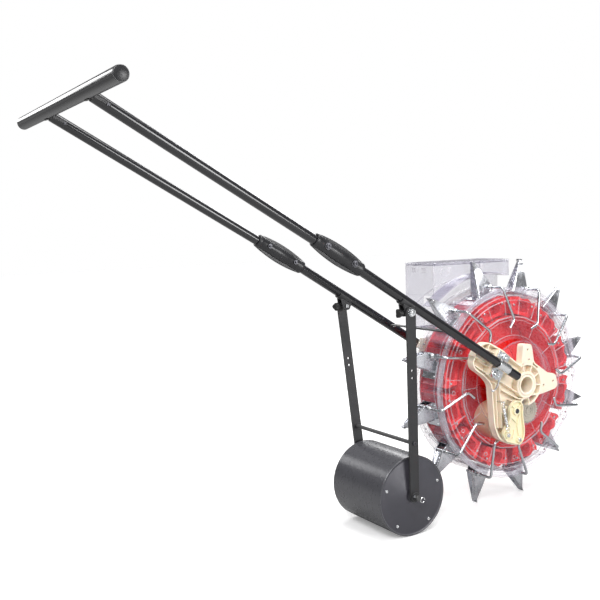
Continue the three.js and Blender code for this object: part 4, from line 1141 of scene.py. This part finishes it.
def coupler(side):
    """Two-part clamp over the tubes' joint: ribbed swell, lens-shaped flanges, two bolts."""
    slope = (math.atan(TUBE_SLOPE) + math.atan2(BAR.z - COUPLER.z, COUPLER.x - BAR.x)) / 2
    toe = (BAR_TUBE_Y - TUBE_Y) / (COUPLER.x - BAR.x) / 2
    at = FLIP[side] @ shift(COUPLER.x, -TUBE_Y - 0.2, COUPLER.z) @ Matrix.Rotation(slope, 4, "Y")
    at = at @ Matrix.Rotation(toe, 4, "Z")
    lens = [(-59 + 118 * i / 24, 12.4 + 6.2 * math.sin(math.pi * i / 24) ** 0.8) for i in range(25)]
    flange = lens + [(59, 9.95), (-59, 9.95)]
    swell = [(10.0, -59), (12.6, -59), (13.4, -57), (13.4, -52), (12.8, -50), (12.8, -20), (13.7, -17),
             (13.7, 17), (12.8, 20), (12.8, 50), (13.4, 52), (13.4, 57), (12.6, 59), (10.0, 59)]
    for half, y0, y1, start in (("outer", -3.0, -0.15, 3), ("inner", 0.15, 3.0, 183)):
        form = Form()
        for edge in (1, -1):
            form.prism([(x, edge * z) for x, z in flange], y0, y1, at=at)
        lay = at @ rotate("Z", -90) @ rotate("Y", 90)
        form.turned(swell, 24, closed=True, between=(start, start + 174), at=lay)
        form.build(f"coupler_{half}_half_{side}", BLACK_PLASTIC, "frame", [f"coupler_{half}_{side}"],
                   bevel=0.6)
    bolts = Form()
    for x in (-34, 34):
        front = at @ shift(x, -13.2, 0)
        washer(bolts, front, 6.4, 2.6, 1.2)
        cross_screw(bolts, front @ shift(0, -1.2, 0), 4.8, 2.6)
        nut(bolts, at @ shift(x, 12.8, 0) @ rotate("Z", 180), 5, 3.2, 2.4)
    bolts.build(f"coupler_bolts_{side}", DARK_STEEL, "frame")


def brace():
    """Flat bar between the lower tubes, bolted at both ends."""
    x = -220
    z = tube_z(x) + 2
    form = Form()
    form.block(x - 7, x + 7, -96.8, 96.8, z - 1.5, z + 1.5)
    form.build("brace_bar", FLAT_BLACK, "frame", ["brace_rod"], bevel=0.5)
    ends = Form()
    for sign in (-1, 1):
        cross_screw(ends, shift(x, sign * 90, z) @ rotate("X", 90) @ shift(0, -1.5, 0), 3.2)
    ends.build("brace_screws", ZINC, "frame")


# ---------------------------------------------------------------- press roller
def arm_y(z):
    """How far out an arm stands at a height; the arms lean in towards the roller."""
    t = (ARM_HINGE.z - z) / (ARM_HINGE.z - ROLLER.z)
    return 119.6 + (89 - 119.6) * t


def roller_arms():
    for side, sign in SIDES.items():
        arm = Form()
        hinge = Vector((ARM_HINGE.x, -sign * arm_y(ARM_HINGE.z), ARM_HINGE.z))
        axle_end = Vector((ROLLER.x, -sign * arm_y(ROLLER.z), ROLLER.z))
        length = (axle_end - hinge).length
        outline = arc(11, 180, 360, 12) + arc(11, 0, 180, 12, z=length)
        holes = [circle(0, 0, 4.3, 20), circle(0, 116, 2.8, 16), circle(0, 131, 2.8, 16),
                 circle(0, length, 6.2, 24)]
        arm.prism(outline, -2.5, 2.5, holes, at=arm_matrix(hinge, axle_end))
        arm.build(f"arm_bar_{side}", FLAT_BLACK, "arms", [f"roller_arm_{side}"], bevel=0.7)
        arm_hinge_parts(side)
        split_pin(side)


def arm_matrix(hinge, axle_end):
    """Lays a bar drawn down +Z from the hinge to the axle, its face across the machine."""
    down = (axle_end - hinge).normalized()
    forward = Vector((0, 1, 0)).cross(down).normalized()
    through = down.cross(forward).normalized()
    return Matrix.Translation(hinge) @ axes(forward, through, down)


def arm_hinge_parts(side):
    """Saddle under the tube, hinge bolt with its nut, and the clamping knob behind."""
    flip = FLIP[side]
    saddle = Form()
    lay = flip @ shift(ARM_HINGE.x, -TUBE_Y, tube_z(ARM_HINGE.x)) @ TUBE_TILT @ rotate("Z", -90)
    profile = [(9.8, -16), (12.4, -16), (12.4, 16), (9.8, 16)]
    saddle.turned(profile, 32, closed=True, between=(-80, 80), at=lay @ rotate("Y", 90))
    x, z = ARM_HINGE.x, ARM_HINGE.z
    ear = rounded([(x - 11, z + 2), (x - 7, z - 9), (x + 7, z - 9), (x + 12, z + 2), (x + 14, z + 9),
                   (x - 14, z + 18)], 4, 4)
    for y0 in (-116.2, -101.6):
        saddle.prism(ear, y0, y0 + 3.0, [circle(x, z, 4.3, 20)], at=flip)
    saddle.build(f"hinge_saddle_{side}", FLAT_BLACK, "frame", [f"arm_lug_{side}"], bevel=0.4)
    bolt = Form()
    axis = flip @ shift(x, 0, z)
    bolt.turned([(0, -128), (3.2, -128), (4, -127), (4, -96), (0, -96)], 24, at=axis)
    washer(bolt, axis @ shift(0, -122.3, 0), 8, 4.1, 1.4)
    bolt.prism(circle(0, 0, 7.2, 6, 0.3), -127.2, -123.7, at=axis)
    bolt.build(f"hinge_bolt_{side}", ZINC, "arms", bevel=0.3)
    knob = Form()
    outline = []
    for i in range(48):
        a = TAU * i / 48
        lobe = 7.8 + 1.5 * math.cos(3 * a)
        outline.append((lobe * math.cos(a), lobe * math.sin(a)))
    turn = flip @ shift(x - 13, -110, z - 1) @ rotate("Z", -90)
    knob.prism(outline, -11, -3, at=turn)
    knob.turned([(0, -3.2), (5, -3.2), (4.2, 5), (0, 5)], 24, at=turn)
    knob.build(f"hinge_knob_{side}", RUBBER, "frame", bevel=1.0, segments=3)


def split_pin(side):
    """Split pin through the axle's end, with its ring, and a washer against the arm."""
    at = FLIP[side] @ shift(ROLLER.x, 0, ROLLER.z)
    plate = Form()
    washer(plate, at @ shift(0, -92.2, 0), 10, 6.3, 1.4)
    plate.build(f"axle_washer_{side}", FLAT_BLACK, "arms", bevel=0.3)
    pin = Form()
    turned = at @ rotate("Y", -62)
    y = -97.5
    for leg in ([(-0.9, y, 9), (-0.9, y, -8), (-5, y - 1, -13)],
                [(1.2, y, 9), (1.2, y, -8), (5, y + 1, -12)]):
        pin.sweep(rounded(leg, 3, 4, closed=False), section(1.1, 10), at=turned)
    ring = [(x, y - 0.4, z) for x, z in arc(5, -70, 250, 24, 0.2, -15)]
    pin.sweep(ring, section(1.0, 10), at=turned)
    pin.build(f"split_pin_{side}", ZINC, "arms")


def press_roller():
    drum = Form()
    half = 83.0
    at = shift(ROLLER.x, 0, ROLLER.z)
    profile = [(79.5, -half + 0.4), (80.2, -half), (81.2, -half), (82, -half + 1), (82, half - 1),
               (81.2, half), (80.2, half), (79.5, half - 0.4)]
    drum.turned(profile, 144, closed=True, at=at)
    drum.build("roller_shell", GREY_PAINT, "roller", ["roller_drum"])
    for side, flip in FLIP.items():
        cap = Form()
        plate = [(6.6, -82), (14, -82), (15, -82.6), (17, -82.6), (18, -82), (74.5, -82), (76, -81.2),
                 (77.5, -81.2), (79.1, -82.2), (79.1, -78), (6.6, -78)]
        cap.turned(plate, 144, closed=True, at=flip @ at)
        cap.build(f"roller_end_{side}", CAP_PAINT, "roller", [f"roller_cap_{side}"])
        screws = Form()
        for i in range(5):
            spot = polar(68, math.radians(18 + 72 * i))
            cross_screw(screws, flip @ at @ shift(spot.x, -82, spot.z), 3.2)
        screws.build(f"roller_end_screws_{side}", ZINC, "roller")
    shaft = Form()
    shaft.turned([(0, -104), (5.2, -104), (6, -103.2), (6, 103.2), (5.2, 104), (0, 104)], 40, at=at)
    shaft.build("roller_shaft", FLAT_BLACK, "arms", ["roller_axle"])
    rod = Form()
    low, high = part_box("tie_rod")
    centre = local((low + high) / 2)
    reach = (high.y - low.y) / 2 / MM
    profile = [(0, -reach), (3.6, -reach), (4, -reach + 0.4), (4, reach - 0.4), (3.6, reach), (0, reach)]
    rod.turned(profile, 32, at=shift(centre.x, 0, centre.z))
    rod.build("arm_tie_rod", FLAT_BLACK, "arms", ["tie_rod"])
    ends = Form()
    for flip in (MIRROR, Matrix()):
        cross_screw(ends, flip @ shift(centre.x, -arm_y(centre.z) - 2.6, centre.z), 4.4)
    ends.build("tie_rod_screws", DARK_STEEL, "arms")


# ---------------------------------------------------------------- stage, light and camera
def floor_and_light():
    size = 14.0
    mesh = bpy.data.meshes.new("floor")
    z = cad_low.z - 0.0005
    corners = [(-size, -size, z), (size, -size, z), (size, size, z), (-size, size, z)]
    mesh.from_pydata(corners, [], [(0, 1, 2, 3)])
    floor = bpy.data.objects.new("floor", mesh)
    bpy.context.scene.collection.objects.link(floor)
    mesh.materials.append(floor_white())
    bpy.context.scene.view_settings.view_transform = "Standard"
    studio_world()
    softbox("key", (-1.7, -1.9, 2.3), (0.1, 0, 0.3), 1.1, 62)
    softbox("top", (0.3, -0.2, 2.8), (0.1, 0, 0.3), 1.5, 50)
    softbox("front", (0.9, -2.9, 0.9), (0.3, 0, 0.3), 1.2, 46)
    softbox("back", (1.9, 2.0, 1.9), (0.3, 0, 0.3), 1.2, 26)
    softbox("streak", (-0.98, 2.3, 1.54), (-0.6, -0.2, 0.85), 0.62, 5)


def floor_white():
    """Near-white paper floor: full brightness to the eye, darker as seen in the object's paint."""
    mat, tree, shader = new_material("floor_white")
    eye = add(tree, "LightPath").outputs["Is Camera Ray"]
    coords = add(tree, "TexCoord").outputs["Object"]
    away = add(tree, "VectorMath", {0: coords}, operation="LENGTH").outputs["Value"]
    glow = add(tree, "MapRange", {"Value": away, "From Min": 0.9, "From Max": 3.0,
                                  "To Min": 0.28, "To Max": 0.58})
    seen = add(tree, "Math", {0: glow.outputs["Result"], 1: eye}, operation="MULTIPLY")
    level = add(tree, "MapRange", {"Value": eye, "To Min": 0.45, "To Max": 0.92})
    connect(tree, shader, {
        "Base Color": level.outputs["Result"],
        "Roughness": 0.95,
        "Emission Color": grey(1),
        "Emission Strength": seen.outputs["Value"],
    })
    return mat


def studio_world():
    """White backdrop; as a light it is dim at eye level and bright overhead."""
    world = bpy.data.worlds.new("studio")
    bpy.context.scene.world = world
    world.use_nodes = True
    tree = world.node_tree
    coords = add(tree, "TexCoord").outputs["Generated"]
    height = add(tree, "SeparateXYZ", {"Vector": coords}).outputs["Z"]
    sky = add(tree, "ValToRGB", {"Fac": height})
    first, last = sky.color_ramp.elements
    first.position, first.color = 0.0, grey(0.3)
    last.position, last.color = 0.95, grey(0.7)
    for position, level in ((0.16, 0.12), (0.5, 0.3)):
        sky.color_ramp.elements.new(position).color = (level, level, level * 1.02, 1)
    eye = add(tree, "LightPath").outputs["Is Camera Ray"]
    mix = add(tree, "Mix", data_type="RGBA")
    connect(tree, mix, {"Factor": eye, "A": sky.outputs["Color"], "B": grey(1)})
    connect(tree, tree.nodes["Background"], {"Color": mix.outputs["Result"], "Strength": 1.0})


def softbox(name, place, target, size, power):
    light = bpy.data.lights.new(name, "AREA")
    light.shape = "SQUARE"
    light.size = size
    light.energy = power
    lamp = bpy.data.objects.new(name, light)
    bpy.context.scene.collection.objects.link(lamp)
    lamp.location = place
    lamp.rotation_euler = (Vector(target) - Vector(place)).to_track_quat("-Z", "Y").to_euler()
    lamp.visible_camera = False


def camera():
    data = bpy.data.cameras.new("camera")
    data.sensor_width = 36
    data.lens = 50.96
    data.clip_start, data.clip_end = 0.05, 60
    cam = bpy.data.objects.new("camera", data)
    bpy.context.scene.collection.objects.link(cam)
    yaw, pitch, roll = (math.radians(a) for a in (58.94, -4.71, -1.84))
    look = Vector((math.cos(pitch) * math.cos(yaw), math.cos(pitch) * math.sin(yaw), math.sin(pitch)))
    level = Vector((math.sin(yaw), -math.cos(yaw), 0))
    rise = level.cross(look)
    right = level * math.cos(roll) + rise * math.sin(roll)
    up = rise * math.cos(roll) - level * math.sin(roll)
    place = WHEEL + Vector((-1364.1, -1407.5, 352.7)) * MM
    cam.matrix_world = Matrix.Translation(place) @ axes(right, up, -look)
    bpy.context.scene.camera = cam


clear_casing()
rim_band()
red_drum()
drum_screws()
gears()
mouth_pieces()
axle()
for each_side in SIDES:
    bracket(each_side)
for each_side in SIDES:
    tube_clamp(each_side)
trip_arm()
spring()
metering()
hopper()
push_handle()
brace()
roller_arms()
press_roller()
floor_and_light()
camera()
